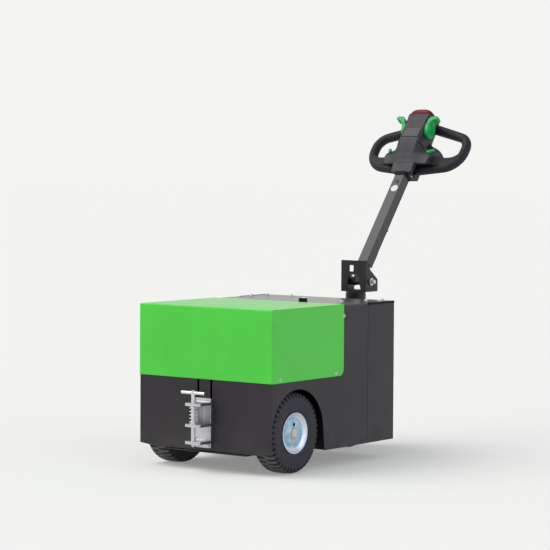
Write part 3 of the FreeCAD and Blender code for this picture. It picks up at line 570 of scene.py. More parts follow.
# the finish of each carried-over node that the fine pieces don't replace
CARRIED = {
    "cover": "green_cover",
    "panels": "front_panel side_panel_right side_panel_left rear_cover floor_pan wheel_box_right"
              " wheel_box_left",
    "deck": "deck_plate",
    "bracket": "steering_bracket steering_carrier castor_fork head_bracket column_housing"
               " steering_shaft",
    "tube": "tiller_tube tiller_channel",
    "casting": "transaxle",
    "case": "battery_pack",
    "jaw": "tow_jaw",
    "steel": "tow_pin tow_pin_handle tow_pin_collar half_shaft_right half_shaft_left castor_axle"
             " tiller_pivot_pin",
}


# ---------------------------------------------------------------- operators

class TUG_OT_stage(bpy.types.Operator):
    """Camera, pale floor, soft surroundings and one soft sun"""
    bl_idname = "tug.stage"
    bl_label = "Studio"

    CAMERA = (4.41802, -5.57302, 0.99825)  # place, from the cover's front face
    AIM = ((36.60, "Z"), (90 - 2.95, "X"), (0.32, "Z"))  # turn, dip and roll in degrees
    HALF_FLOOR = 60  # half the side of the floor
    FLOOR = (0.784, 0.778, 0.742, 1)
    FLOOR_GLOW = 0.26  # share of the floor seen as plain background
    # soft boxes: direction, cosine at the full glow and at its end, glow
    BOXES = (((-0.55, -0.45, 0.70), 0.93, 0.80, (2.3, 2.3, 2.3)),
             ((0.86, 0.06, 0.42), 0.96, 0.86, (1.30, 1.48, 1.90)))

    def execute(self, context):
        studio = context.scene.tug_studio
        context.scene.view_settings.view_transform = "Standard"
        self.camera(context.scene, studio.lens)
        self.floor(studio.pale)
        self.surroundings(context.scene, studio.pale)
        self.sun(context.scene, studio.sun)
        return {"FINISHED"}

    def camera(self, scene, lens):
        data = bpy.data.cameras.new("camera")
        data.lens = lens
        data.sensor_width = 36.0
        camera = bpy.data.objects.new("camera", data)
        scene.collection.objects.link(camera)
        camera.matrix_world = Matrix.Translation(Vector(self.CAMERA) + Vector((0, FRONT, 0)))
        for angle, axis in self.AIM:
            camera.matrix_world @= Matrix.Rotation(math.radians(angle), 4, axis)
        scene.camera = camera

    def floor(self, pale):
        shape = bmesh.new()
        far = self.HALF_FLOOR
        corners = ((-far, -far, 0), (far, -far, 0), (far, far, 0), (-far, far, 0))
        shape.faces.new([shape.verts.new(corner) for corner in corners])
        floor = new_object("floor", shape)
        made, tree = start_material("floor")
        matte = put(tree, "BsdfPrincipled", {"Base Color": self.FLOOR, "Roughness": 1.0,
                                             "Specular IOR Level": 0.0}).outputs[0]
        rays = put(tree, "LightPath").outputs
        seen = larger(tree, rays["Is Camera Ray"], rays["Is Glossy Ray"])
        glow = put(tree, "Emission", {"Color": (*pale, 1.0)}).outputs[0]
        mixed = put(tree, "MixShader", {0: times(tree, seen, self.FLOOR_GLOW), 1: matte, 2: glow})
        put(tree, "OutputMaterial", {"Surface": mixed.outputs[0]})
        floor.data.materials.append(made)

    def surroundings(self, scene, pale):
        """Pale round the horizon, dimmer above it, with soft boxes overhead and to the right."""
        world = bpy.data.worlds.new("studio")
        world.use_nodes = True
        tree = world.node_tree
        tree.nodes.clear()
        direction = put(tree, "TexCoord").outputs["Generated"]
        rise = put(tree, "SeparateXYZ", {0: direction}).outputs["Z"]
        colours = blend(tree, spread(tree, rise, 0.16, 0.45), pale, (0.50, 0.50, 0.51))
        for aim, inner, outer, glow in self.BOXES:
            near = dot(tree, direction, Vector(aim).normalized())
            colours = blend(tree, spread(tree, near, outer, inner), colours, glow)
        background = put(tree, "Background", {"Color": colours})
        put(tree, "OutputWorld", {"Surface": background.outputs[0]})
        scene.world = world

    def sun(self, scene, energy):
        data = bpy.data.lights.new("sun", "SUN")
        data.energy = energy
        data.angle = math.radians(50)
        sun = bpy.data.objects.new("sun", data)
        scene.collection.objects.link(sun)
        sun.matrix_world = facing((-2, -2, 3), (-0.38, -0.62, 0.95))


class TUG_OT_finishes(bpy.types.Operator):
    """Build the finishes and give them to the carried-over nodes"""
    bl_idname = "tug.finishes"
    bl_label = "Finishes"

    def execute(self, context):
        make_coat_group()
        make_wear_group()
        make_dust_and_sheen_group()
        make_plating_group()
        make_mould_group()
        self.metals(context.scene.tug_paint, context.scene.tug_wheels)
        self.mouldings(context.scene.tug_wheels, context.scene.tug_head)
        for finish, nodes in CARRIED.items():
            for name in nodes.split():
                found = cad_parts[name]
                if not found.material_slots:
                    found.data.materials.append(None)
                for slot in found.material_slots:
                    slot.material = FINISHES[finish]
        return {"FINISHED"}

    def metals(self, paint, wheels):
        wear = paint.wear
        FINISHES.update(
            # the cover's bright yellow-green tint on its upward faces is a painted sheen that
            # lightens its top
            cover=coated("cover_paint", paint.cover, 0.36, wear=0.25 * wear, top=0.10, low=0.0,
                         specular=0.35, sheen=0.32, dust_and_sheen_tint=(0.66, 1.0, 0.12)),
            panels=coated("panel_paint", paint.panels, 0.46, wear=wear, top=0.16),
            deck=coated("deck_paint", paint.panels, 0.40, wear=wear, top=0.16, specular=0.4,
                        sheen=0.55),
            bracket=coated("bracket_paint", paint.bracket, 0.42, wear=wear, top=0.1),
            tube=coated("tube_paint", paint.tube, 0.42, wear=wear, top=0.1, specular=0.35),
            casting=coated("cast_housing", (0.09, 0.09, 0.092), 0.6, grain=260.0, wear=0.5,
                           top=0.5, low=0.5),
            jaw=plated("jaw_zinc", (0.66, 0.63, 0.64), (0.56, 0.57, 0.63), 0.38, scale=38.0),
            steel=plated("turned_steel", (0.74, 0.71, 0.71), (0.66, 0.64, 0.67), 0.32, scale=30.0),
            rim=plated("rim_plating", wheels.plating, (0.52, 0.64, 0.72), 0.26, scale=34.0,
                       low=0.0),
            # the rolled lip is the same pressed steel as the rim; its lighter plating is a painted
            # highlight
            lip=plated("lip_plating_painted_highlight", (0.80, 0.84, 0.90), (0.70, 0.76, 0.84), 0.34, scale=40.0,
                       low=0.0),
            hub=plated("hub_zinc", (0.60, 0.57, 0.50), (0.48, 0.46, 0.42), 0.45, scale=120.0),
            bolt=plated("bolt_zinc", (0.66, 0.66, 0.66), (0.56, 0.56, 0.58), 0.32, scale=150.0))

    def mouldings(self, wheels, head):
        FINISHES.update(
            case=moulded("battery_case", (0.05, 0.05, 0.052), 0.6, grain=300.0),
            tyre=rubber("tyre_rubber", wheels.rubber),
            # lighter tread rubber: scuffed, and partly painted light
            tread=rubber("tread_rubber_scuffed_and_painted_light", wheels.tread),
            castor=rubber("castor_rubber", (0.030, 0.029, 0.031)),
            housing=moulded("head_plastic", head.housing, 0.42),
            grip=moulded("grip_soft", head.grips, 0.55, grain=1400.0, specular=0.26),
            green=moulded("control_plastic", head.controls, 0.34, grain=1200.0,
                          depth=0.0001, specular=0.2, sheen=0.3),
            red=moulded("button_plastic", head.button, 0.30, grain=1500.0, depth=0.0001,
                        specular=0.2),
            # the darker shell finish, also painted on the head housing's closing faces as shade
            shell=moulded("shell_plastic_and_painted_shade", (0.022, 0.019, 0.024), 0.45, specular=0.28),
            label=moulded("label_film", (0.038, 0.032, 0.042), 0.32, grain=2500.0, depth=0.00005),
            disc=moulded("sticker_film", (0.62, 0.61, 0.64), 0.40, grain=2500.0, depth=0.00005),
            # near-black finish for black parts, and for strips and spacers that stand for shade
            dark=moulded("dark_rubber_and_painted_shade", (0.004, 0.004, 0.0045), 0.6, grain=1000.0, top=0.0,
                         specular=0.15))


# half of the tyre's section from the tread's middle to the bead, in millimetres: place across,
# radius and, where the grooves are, how far their floor lies inwards and down
TYRE_HALF = (
    (0.0, 130.0), (3.4, 130.0), (4.0, 129.9, 0, -6.0), (14.0, 129.8, 0, -6.2),
    (25.0, 129.2, 0, -6.6), (31.5, 127.8, -0.5, -7.4), (35.6, 125.4, -2.6, -8.2),
    (38.0, 122.2, -4.6, -7.4), (39.3, 118.8, -5.2, -4.6), (39.8, 116.4, -4.8, -2.6),
    (40.0, 114.0, -3.4, -0.6), (40.2, 112.6), (40.6, 107.5), (40.2, 106.4), (40.6, 105.4),
    (40.9, 102.2), (40.9, 98.0), (40.8, 95.0), (40.5, 88.0), (40.0, 85.2), (40.5, 84.2),
    (40.3, 82.8), (39.5, 81.0), (38.6, 76.0), (37.2, 71.0), (35.6, 68.0), (34.0, 65.0),
    (31.0, 58.0), (28.0, 51.5))
TREAD_EDGE = 37 * MM  # the lighter tread, scuffed and partly painted light, reaches this far across
TREAD_FLOOR = 126.4 * MM  # and down to this radius
GROOVE_FOOT = 0.14  # share of a groove's width that each wall takes


class TUG_OT_tyres(bpy.types.Operator):
    """Drive tyres with two staggered rows of lugs"""
    bl_idname = "tug.tyres"
    bl_label = "Drive tyres"

    def execute(self, context):
        wheels = context.scene.tug_wheels
        for side, _ in SIDES:
            centre = middle("tyre_" + side)
            shape = bmesh.new()
            for face in skin(shape, self.sections(centre, wheels), wrap=True):
                place = face.calc_center_median() - centre
                # tread-top faces take the lighter tread finish: scuffing plus painted light
                if abs(place.x) < TREAD_EDGE and place.yz.length > TREAD_FLOOR:
                    face.material_index = 1
            add_piece("tread_tyre_" + side, shape, "tyre tread", "wheel_" + side, "tyre_rubber",
                      degrees=28, stands_for=["tyre_" + side])
        return {"FINISHED"}

    def sections(self, centre, wheels):
        """One closed section for each of eight steps in every pitch of the lugs."""
        row = [share * wheels.groove for share in (0.0, GROOVE_FOOT, 1 - GROOVE_FOOT, 1.0)]
        sections = []
        for lug in range(wheels.lugs):
            for number, step in enumerate(row + [0.5 + share for share in row]):
                angle = TURN * (lug + step) / wheels.lugs
                one = self.half(angle, 1, number in (1, 2))
                other = self.half(angle, -1, number in (5, 6))
                sections.append([centre + point for point in one + other[:0:-1]])
        return sections

    def half(self, angle, sign, grooved):
        points = []
        for across, radius, *groove in TYRE_HALF:
            if grooved and groove:
                across += groove[0]
                radius += groove[1]
            points.append(mm(sign * across, radius * math.sin(angle), radius * math.cos(angle)))
        return points


# closed section of the pressed rim, outer side first: place towards the outside, radius
RIM_SECTION = (
    (37.2, 66.0), (38.3, 66.4), (39.2, 65.8), (39.4, 64.6), (38.8, 63.4), (37.2, 62.4),
    (33.6, 56.6), (31.4, 52.2), (30.5, 50.4), (30.0, 48.4), (30.0, 40.0), (30.3, 39.0),
    (30.3, 24.0), (30.8, 20.0), (31.6, 18.2), (33.0, 17.4), (33.6, 16.6), (33.6, 13.4),
    (33.2, 12.7), (-34.0, 12.7), (-34.0, 18.0), (27.0, 18.0), (27.0, 47.2), (-29.5, 47.2),
    (-38.6, 62.6), (-39.4, 64.4), (-39.2, 65.6), (-38.3, 66.2), (-37.2, 66.0), (-36.6, 65.0),
    (-29.5, 50.0), (29.5, 50.0), (36.6, 65.0))
HUB_REACH = 17.8 * MM
LIP_REACH = 49.5 * MM


class TUG_OT_rims(bpy.types.Operator):
    """Pressed, plated rims with a hub, a valve hole and a hub nut"""
    bl_idname = "tug.rims"
    bl_label = "Drive rims"

    def execute(self, context):
        for side, sign in SIDES:
            body = "wheel_" + side
            centre = middle("rim_" + side)
            outwards = (sign, 0, 0)
            rim = new_object("pressed_rim_" + side, solid(
                turned, RIM_SECTION, facing(centre, outwards), steps=128, wrap=True))
            valve = facing(centre + mm(sign * 20, 5, 27), outwards)
            cut(rim, solid(turned, ((0, 6.0), (30, 6.0)), valve))
            for name in ("rim", "hub", "lip"):
                rim.data.materials.append(FINISHES[name])
            for face in rim.data.polygons:
                reach = (face.center - centre).yz.length
                # faces beyond LIP_REACH take the lighter lip plating, a painted highlight
                face.material_index = 1 if reach < HUB_REACH else 2 if reach > LIP_REACH else 0
            finish_piece(rim, "rim hub lip", body, "zinc", degrees=30, stands_for=["rim_" + side])
            seat = facing(centre + mm(sign * 33.0, 0, 0), outwards, 0.4)
            nut = solid(bolt, seat, 12.9, 1.2, 8.2, 3.0, bore=8.0, chamfer=0.4, steps=48)
            add_piece("hub_nut_" + side, nut, "bolt", body, "zinc")
        return {"FINISHED"}


class TUG_OT_castor(bpy.types.Operator):
    """Castor wheel: ribbed tyre and a core with five holes"""
    bl_idname = "tug.castor"
    bl_label = "Castor wheel"

    SEAT = 62.0  # radius where the tyre sits on the core
    HOLES = 5

    def execute(self, context):
        low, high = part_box("castor_tyre")
        where = facing((low + high) / 2, (1, 0, 0))
        radius = (high.z - low.z) / 2 / MM
        half = (high.x - low.x) / 2 / MM
        section = [(half - 5, self.SEAT), (half - 1.5, self.SEAT + 4), (half, self.SEAT + 12),
                   (half, radius - 16), (half - 1.6, radius - 8), (half - 5, radius - 2.6),
                   (half - 9, radius - 0.6), (6.4, radius), (5.8, radius - 2.5),
                   (4.2, radius - 2.5), (3.6, radius)]
        tyre = solid(turned, self.both(section), where, steps=120, wrap=True)
        add_piece("castor_ribbed_tyre", tyre, "castor", "castor_wheel", "castor_rubber",
                  degrees=30, stands_for=["castor_tyre"])
        self.core(where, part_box("castor_rim"))
        return {"FINISHED"}

    def core(self, where, box):
        hub = (box[1].x - box[0].x) / 2 / MM
        section = [(hub, 9.0), (hub, 21.0), (hub - 1, 22.0), (8.0, 27.0), (5.0, 29.0), (5.0, 47.0),
                   (9.0, 51.0), (17.0, 54.0), (18.0, 55.0), (18.0, self.SEAT)]
        shape = solid(turned, self.both(section), where, steps=96, wrap=True)
        core = new_object("castor_core", shape)
        for number in range(self.HOLES):
            spin = Matrix.Rotation(TURN * number / self.HOLES, 4, "Z")
            hole = where @ spin @ Matrix.Translation((0.038, 0, -0.02))
            cut(core, solid(turned, ((0, 7.0), (40, 7.0)), hole, steps=40))
        finish_piece(core, "hub", "castor_wheel", "zinc", stands_for=["castor_rim"])

    def both(self, section):
        """The section and its mirror image, as one closed section."""
        return section + [(-across, reach) for across, reach in section[::-1]]


class TUG_OT_spring(bpy.types.Operator):
    """Coil spring round the tow pin"""
    bl_idname = "tug.spring"
    bl_label = "Tow pin spring"

    WIRE = 1.75 * MM  # radius of the wire
    TURNS = 5.6  # turns of the coil
    CLOSED = 0.55  # turns at each end that don't climb
    STEPS = 300

    def execute(self, context):
        low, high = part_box("tow_pin_spring")
        centre = (low + high) / 2
        reach = (high.x - low.x) / 2 - self.WIRE
        bottom, top = low.z + self.WIRE, high.z - self.WIRE
        stations = []
        for number in range(self.STEPS + 1):
            turns = self.TURNS * number / self.STEPS
            climb = (turns - self.CLOSED) / (self.TURNS - 2 * self.CLOSED)
            rise = (top - bottom) * min(1.0, max(0.0, climb))
            out = Vector((math.cos(TURN * turns), math.sin(TURN * turns), 0))
            heart = Vector((centre.x, centre.y, bottom + rise)) + reach * out
            stations.append((heart, out * self.WIRE, Vector((0, 0, self.WIRE))))
        spring = add_piece("tow_pin_coil", solid(swept, stations, 12), "steel", "tow_pin_body",
                           "steel", stands_for=["tow_pin_spring"])
        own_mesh(spring)
        return {"FINISHED"}


class TUG_OT_jaw_details(bpy.types.Operator):
    """Weld beads, bolts and washers of the tow jaw"""
    bl_idname = "tug.jaw_details"
    bl_label = "Tow jaw details"

    FACE = -5.5  # front of the jaw's back plate
    PROUD = 0.6  # how far the beads stand off the plate
    # lower and upper face of each ear
    EARS = ((93.5, 102.5), (148.5, 157.5), (216.0, 225.0))

    def execute(self, context):
        beads = bmesh.new()
        front = self.FACE - self.PROUD
        for under, over in self.EARS:
            for height in (under - self.PROUD, over + self.PROUD):
                self.bead(beads, at(-30, front, height), at(30, front, height))
        for x in (-4.6, 4.6):
            self.bead(beads, at(x, front, 159), at(x, front, 214))
        add_piece("jaw_welds", beads, "jaw", "root", "zinc", degrees=60)
        bolts = bmesh.new()
        for x in (-26.0, 26.0):
            bolt(bolts, self.seat(x, 167.0, 0.3), 7.5, 1.0, 5.6, 5.0)
        for x, z in ((-29.0, 231.0), (29.0, 231.0), (-29.0, 108.5), (29.0, 108.5)):
            turned(bolts, ((0, 3.6), (1.2, 3.6), (2.2, 2.8), (2.6, 1.0)), self.seat(x, z), steps=24)
        for x in (-20.0, 20.0):
            bolt(bolts, self.seat(x, 85.5, 0.5), 7.4, 1.2, 5.8, 4.2)
        add_piece("jaw_bolts", bolts, "bolt", "root", "zinc")
        return {"FINISHED"}

    def seat(self, x, z, roll=0.0):
        return facing(at(x, self.FACE, z), (0, -1, 0), roll)

    def bead(self, shape, start, end):
        """A run of overlapping weld ripples."""
        outwards = Vector((0, 1, 0))
        count = int((end - start).length / (0.8 * MM))
        side = (end - start).normalized().cross(outwards)
        stations = []
        for number in range(count + 1):
            share = number / count
            ripple = 1.6 + 0.45 * abs(math.sin(number * 1.3)) - 0.8 * (abs(2 * share - 1) ** 8)
            stations.append((start + (end - start) * share, side * ripple * MM,
                             outwards * ripple * MM))
        swept(shape, stations, 10)


class TUG_OT_fasteners(bpy.types.Operator):
    """Bolts of the cover, the deck and the tiller's pivot"""
    bl_idname = "tug.fasteners"
    bl_label = "Fasteners"

    COVER = ((392, 492), (349, 306), (44, 307))  # y and z on either side
    SUNK = 2.4  # how deep the cover's bolts sit
    # x and y of the deck's bolts, then place along the axis and radius of the pivot's ring
    DECK = ((168, 523), (-258, 588), (-241, 656), (232, 672), (196, 628), (-150, 676))
    PIVOT_RING = ((0.2, 11.5), (1.6, 11.5), (2.1, 11.0), (2.1, 9.4), (1.4, 8.8), (0.2, 8.8))
    SPACER = (-0.5, 10.5)  # ends of the pivot's spacer, near black as painted shade in the gap

    def execute(self, context):
        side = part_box("green_cover")[1].x / MM
        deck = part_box("deck_plate")[1].z / MM
        cover = bmesh.new()
        for _, sign in SIDES:
            for y, z in self.COVER:
                seat = facing(at(sign * (side - self.SUNK), y, z), (sign, 0, 0))
                bolt_head(cover, seat, 6.5, 4.4, SOCKET, 36)
        add_piece("cover_bolts", cover, "bolt", "root", "zinc")
        deck_bolts = bmesh.new()
        for x, y in self.DECK:
            bolt(deck_bolts, facing(at(x, y, deck), (0, 0, 1), 0.2 * y), 8.0, 1.0, 6.0, 4.5)
        add_piece("deck_bolts", deck_bolts, "bolt", "root", "zinc")
        self.pivot()
        return {"FINISHED"}

    def pivot(self):
        """A ring, a spacer painted near black as the shade in the gap, and a hexagon head on either
        end of the pivot pin.
        """
        low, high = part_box("steering_bracket")
        pin = middle("tiller_pivot_pin")
        shape = bmesh.new()
        for end, sign in ((high.x, 1), (low.x, -1)):
            where = facing(Vector((end, pin.y, pin.z)), (sign, 0, 0), 0.35)
            turned(shape, self.PIVOT_RING, where, wrap=True)
            # the spacer is near black: painted shade in the gap between ring and head
            turned(shape, [(place, 5.6) for place in self.SPACER], where, index=1)
            bolt_head(shape, where, 8.4, 5.6, lift=10.4)
        add_piece("pivot_bolt_ends", shape, "bolt dark", "steering", "steel")


def rounded_path(corners, radii, step):
    """Straight runs joined by arcs, as evenly spaced points.  Millimetres."""
    points = [Vector(corners[0])]
    for number, radius in enumerate(radii):
        before, here, after = (Vector(corner) for corner in corners[number:number + 3])
        back, ahead = (before - here).normalized(), (after - here).normalized()
        half = back.angle(ahead) / 2
        reach = radius / math.tan(half)
        centre = here + (back + ahead).normalized() * (radius / math.sin(half))
        first, last = here + back * reach - centre, here + ahead * reach - centre
        steps = max(4, int(radius * first.angle(last) / step))
        for part in range(steps + 1):
            points.append(centre + first.slerp(last, part / steps).normalized() * radius)
    points.append(Vector(corners[-1]))
    even = [points[0]]
    for target in points[1:]:
        start = even[-1]
        run = target - start
        count = max(1, round(run.length / step))
        even += [start + run * part / count for part in range(1, count + 1)]
    return even


class TUG_OT_loops(bpy.types.Operator):
    """Hand loops: round grips with a flat web above the lower bar"""
    bl_idname = "tug.loops"
    bl_label = "Hand loops"

    DEPTH = 10  # the bars' middle, behind the tiller's origin
    # x and z of the bars' corners, and the radius at each but the ends
    CORNERS = ((40, 688), (193, 641), (193, 524), (84, 509), (27, 501))
    RADII = (54, 74, 30)
    GRIP = 17  # radius of the grip
    STOUT = 1.4  # how much stouter it is where it starts
    # the web between the lower bar and the shoulder: across, depth of its face, its lower edge
    # and its upper edge
    WEB = ((84, 22, 512, 549), (95, 20, 512.5, 549.5), (105, 15, 513, 550), (118, 10, 514.5, 551),
           (130, 7.6, 516, 551), (148, 7.4, 518, 551.5), (160, 7.2, 520, 554),
           (170, 6.8, 524, 559), (178, 5.5, 530, 567))
    WEB_BACK = 12.0  # y of the web's back

    def execute(self, context):
        for side, sign in SIDES:
            corners = [(sign * x, self.DEPTH, s) for x, s in self.CORNERS]
            shape = bmesh.new()
            self.grip(shape, [point * MM for point in rounded_path(corners, self.RADII, 3.0)],
                      Vector((0, sign, 0)))
            self.web(shape, sign)
            add_piece("hand_loop_" + side, shape, "grip", "tiller", "grip_plastic", degrees=40,
                      stands_for=["handle_loop_" + side])
        return {"FINISHED"}

    def grip(self, shape, path, up):
        """Carry a circle along the path, stouter beside the head."""
        stations = []
        last = len(path) - 1
        for number, point in enumerate(path):
            along = path[min(number + 1, last)] - path[max(number - 1, 0)]
            across = along.normalized().cross(up).normalized()
            radius = (self.GRIP + self.STOUT * max(0.0, 1 - number / last / 0.32)) * MM
            stations.append((point, across * radius, up * radius))
        swept(shape, stations, 40)

    def web(self, shape, sign):
        """Loft the flat web outwards from the shoulder until it sinks into the grip."""
        rings = []
        for x, depth, low, high in smoothed(self.WEB, 4):
            face, back = -depth, self.WEB_BACK
            outline = ((face + 1.2, low), (back - 6, low), (back, low + 5), (back, high - 5),
                       (back - 5, high), (face + 4, high), (face + 1.2, high - 1.2),
                       (face, high - 4), (face, low + 1.2))
            rings.append([mm(sign * x, y, s) for y, s in outline])
        skin(shape, rings)


class TUG_OT_head(bpy.types.Operator):
    """Moulded tiller head: front housing, rear shell, blank label and rocker buttons"""
    bl_idname = "tug.head"
    bl_label = "Tiller head"

    # rows up the tiller: place along it, half width of the flat face, half width over the arms,
    # how far the face and the arms stand forward, corner radius, y where the sides end
    TONGUE = ((457, 30, 43, 41.5, 41, 4, -30), (462, 30, 43.5, 43, 42.5, 4, -30),
              (476, 30, 44.5, 45.5, 45, 4, -30), (491, 30, 45.5, 47.5, 47, 4, -30),
              (497, 30, 46.5, 49.3, 48, 4, -30), (501, 28, 46, 50.1, 46.5, 4, -30),
              (506, 20, 44, 50.4, 42, 4, -30))
    ROWS = ((497, 16, 88.5, 49, 40.5, 3, -37), (500, 16, 90.5, 50, 41.5, 3, -33),
            (510, 17, 94, 52, 43.5, 3.5, -18), (519, 18, 96.5, 55, 45, 4, -5),
            (530, 20, 97, 58, 44.5, 4.5, -4), (539, 24, 96, 61, 43, 6, -4),
            (546, 28, 92.5, 63.5, 41, 8, -4), (553, 31, 83, 65.8, 39.5, 11, -4),
            (560, 33, 73, 68, 39, 12, -4), (566, 34, 65.5, 70, 43, 12, -4),
            (571, 34, 58, 71.3, 50, 12, -4), (577, 34, 50, 72.5, 58, 12, -4),
            (586, 34, 45.5, 74, 67, 12, -4), (600, 34, 44, 75, 72, 10, -4),
            (640, 34, 43.5, 75.3, 73, 8, -4), (670, 34, 44.8, 75.3, 73, 8, -4),
            (692, 34, 46.4, 75, 73, 7, -4), (700, 34, 46.6, 74, 72, 6, -4))
    END = 1.4  # how far the first and last row are drawn in
    OPEN = -39  # faces across the middle and behind this y close the housing's open underside and take the darker shell finish as painted shade
    # right half of the rear shell's outline, from the bottom to the top
    SHELL = ((40, 500), (60, 508), (86, 514), (104, 519), (114, 530), (119, 543), (118, 556),
             (110, 570), (96, 583), (77, 594), (58, 603), (47, 611), (42, 622), (39, 640),
             (38, 700))
    # the shell's layers: y, and how far the outline is drawn in
    LAYERS = ((-4.5, 3.0), (-3.6, 1.0), (-2.8, 0.0), (9.0, 0.0), (14.0, 1.2), (17.6, 4.2),
              (19.6, 8.5), (20.0, 13.0))
    # the bridge that holds the loops: place across, radius
    BRIDGE = ((-41, 13.5), (-40, 15.5), (-38, 16.5), (38, 16.5), (40, 15.5), (41, 13.5))
    # the collar in x and y; a gusset and the stop in y and z
    COLLAR = ((22.8, -43.4), (22.8, 2.0), (-22.8, 2.0), (-22.8, -43.4))
    GUSSET = ((-1.5, 445), (46, 482), (23, 483), (-1.5, 464))
    STOP = ((-1, 466), (20, 480), (-1, 480))
    LABEL = (34.5, 594, 633.0)  # half width, lower end, upper end
    ROCKER = ((81, -44, 546), (93, -31, 563.5))  # ends of the right one's axis

    def execute(self, context):
        self.front()
        self.rear()
        self.fittings()
        self.label()
        self.rockers()
        return {"FINISHED"}

    def row(self, flat, arms, face, arm_face, corner, end, shrink=0.0):
        """Half of one row of the front housing, from the middle of its face round to its end."""
        reach = arms - shrink
        fall_width = max(14.0, 0.8 * (arms - flat))
        points = []
        for step in range(25):
            x = (reach - corner) * step / 24
            fall = min(1.0, max(0.0, (x - flat) / fall_width))
            depth = face + (arm_face - face) * fall * fall * (3 - 2 * fall)
            points.append((x, shrink - depth))
        edge = points[-1][1]
        for step in range(1, 9):
            turn = math.pi / 2 * step / 8
            points.append((reach - corner + corner * math.sin(turn),
                           edge + corner * (1 - math.cos(turn))))
        for step in range(1, 5):
            points.append((reach, edge + corner + (end - edge - corner) * step / 4))
        return points

    def moulding(self, shape, rows, parts):
        """Loft the rows into one closed moulding with softened ends; the faces that close its open
        underside are painted dark as shade.
        """
        first, *inner, last = smoothed(rows, parts)
        levels = [(first, 0, self.END), (first, 1.2, 0.0), *((row, 0, 0.0) for row in inner),
                  (last, -1.2, 0.0), (last, 0, self.END)]
        rings = []
        for (s, *sizes), shift, shrink in levels:
            half = self.row(*sizes, shrink)
            rings.append([mm(x, y, s + shift)
                          for x, y in half + [(-x, y) for x, y in half[:0:-1]]])
        for face in skin(shape, rings)[:-1]:
            centre = face.calc_center_median() / MM
            # the closing faces take the darker shell finish: painted shade for the hollow underside
            if abs(centre.x) < 1 and centre.y > self.OPEN:
                face.material_index = 1

    def front(self):
        shape = bmesh.new()
        self.moulding(shape, self.ROWS, 6)
        self.moulding(shape, self.TONGUE, 4)
        add_piece("head_front", shape, "housing shell", "tiller", "head_plastic", degrees=40,
                  stands_for=["head_housing"])

    def rear(self):
        """Rear shell, drawn in a little at the seam, with the bridge that holds the loops."""
        right = smoothed(self.SHELL, 5)
        rear = solid(slab, right + [(-x, z) for x, z in reversed(right)], self.LAYERS)
        add_piece("head_rear", rear, "shell", "tiller", "head_plastic", degrees=40)
        stations = [(mm(x, 10, 686), mm(0, reach, 0), mm(0, 0, 0.86 * reach))
                    for x, reach in self.BRIDGE]
        add_piece("head_bridge", solid(swept, stations, 48), "shell", "tiller", "head_plastic")

    def fittings(self):
        """The tube's collar, two gussets and the stop below the head."""
        for name, profile, runs, axis, finish in (
                ("head_collar", self.COLLAR, ((447, 460),), 2, "dark"),
                ("head_gussets", self.GUSSET, ((-18, -14), (14, 18)), 0, "bracket"),
                ("head_stop", self.STOP, ((-14, 14),), 0, "bolt")):
            shape = bmesh.new()
            for ends in runs:
                prism(shape, profile, ends, axis)
            add_piece(name, shape, finish, "tiller", "black_paint")

    def label(self):
        """A blank film in a shallow frame on the front face."""
        shape = bmesh.new()
        for grow, front, index in ((0.0, -76.0, 0), (1.5, -75.75, 1)):
            wide, low, high = self.LABEL[0] + grow, self.LABEL[1] - grow, self.LABEL[2] + grow
            slab(shape, ((-wide, low), (wide, low), (wide, high), (-wide, high)),
                 ((front, 0.3), (front + 0.3, 0.0), (-71, 0.0)), index)
        add_piece("head_label_blank", shape, "label dark", "tiller", "head_plastic")

    def rockers(self):
        """Small green rocker on each shoulder, between the two shells."""
        for side, sign in SIDES:
            start, end = (Vector((sign * x, y, s)) for x, y, s in self.ROCKER)
            length = (end - start).length
            profile = ((-5, 0.6), (-4.6, 2.8), (-3.2, 4.9), (-1, 6.0), (1, 6.3), (length, 6.3),
                       (length + 3, 5.2), (length + 5, 2.6))
            rocker = solid(turned, profile, facing(start * MM, end - start), steps=32)
            add_piece("rocker_" + side, rocker, "green", "tiller", "green_plastic", degrees=60)


class TUG_OT_thumb_wings(bpy.types.Operator):
    """Rotary drive controls beside the head: round hub with a flared wing"""
    bl_idname = "tug.thumb_wings"
    bl_label = "Thumb wings"

    # right wing seen from the front: across and along the tiller, anticlockwise
    FRONT_VIEW = ((36, 612), (48, 612.5), (54, 616), (57, 624), (57.5, 640), (59, 651), (63, 660),
                  (70, 666.5), (77, 669), (83, 669.5), (87, 672), (88, 677), (86.5, 682.5),
                  (81, 686), (74, 687), (66, 686), (59, 682.5), (53.5, 676), (49.5, 667),
                  (46, 655), (36, 650))
    # either wing seen from the side: depth and along the tiller, anticlockwise
    SIDE_VIEW = ((-42, 614.5), (-31, 616.5), (-21.5, 624), (-17.5, 636), (-19, 648), (-27, 657.5),
                 (-40, 663), (-49, 668), (-52.5, 675), (-53.5, 682), (-57, 687), (-65, 689),
                 (-73, 687), (-77.5, 681), (-78, 670), (-75, 658), (-70, 646), (-67, 634),
                 (-61, 622.5), (-52, 616.5))
    SMOOTHING = 7  # passes

    def execute(self, context):
        side_view = smoothed(self.SIDE_VIEW + self.SIDE_VIEW[:1], 4)[:-1]
        for side, sign in SIDES:
            view = smoothed(self.FRONT_VIEW, 4)
            if sign < 0:
                view = [(-x, s) for x, s in reversed(view)]
            wing = new_object("thumb_wing_" + side, solid(prism, view, (-90, 0), 1), TILLER)
            across = solid(prism, side_view, (20 * sign, 100 * sign), 0)
            cut(wing, across, "INTERSECT", TILLER)
            fuse(wing, context.scene.tug_head.voxel, self.SMOOTHING)
            finish_piece(wing, "green", "tiller", "green_plastic", degrees=70,
                         stands_for=["thumb_wheel_" + side])
        return {"FINISHED"}


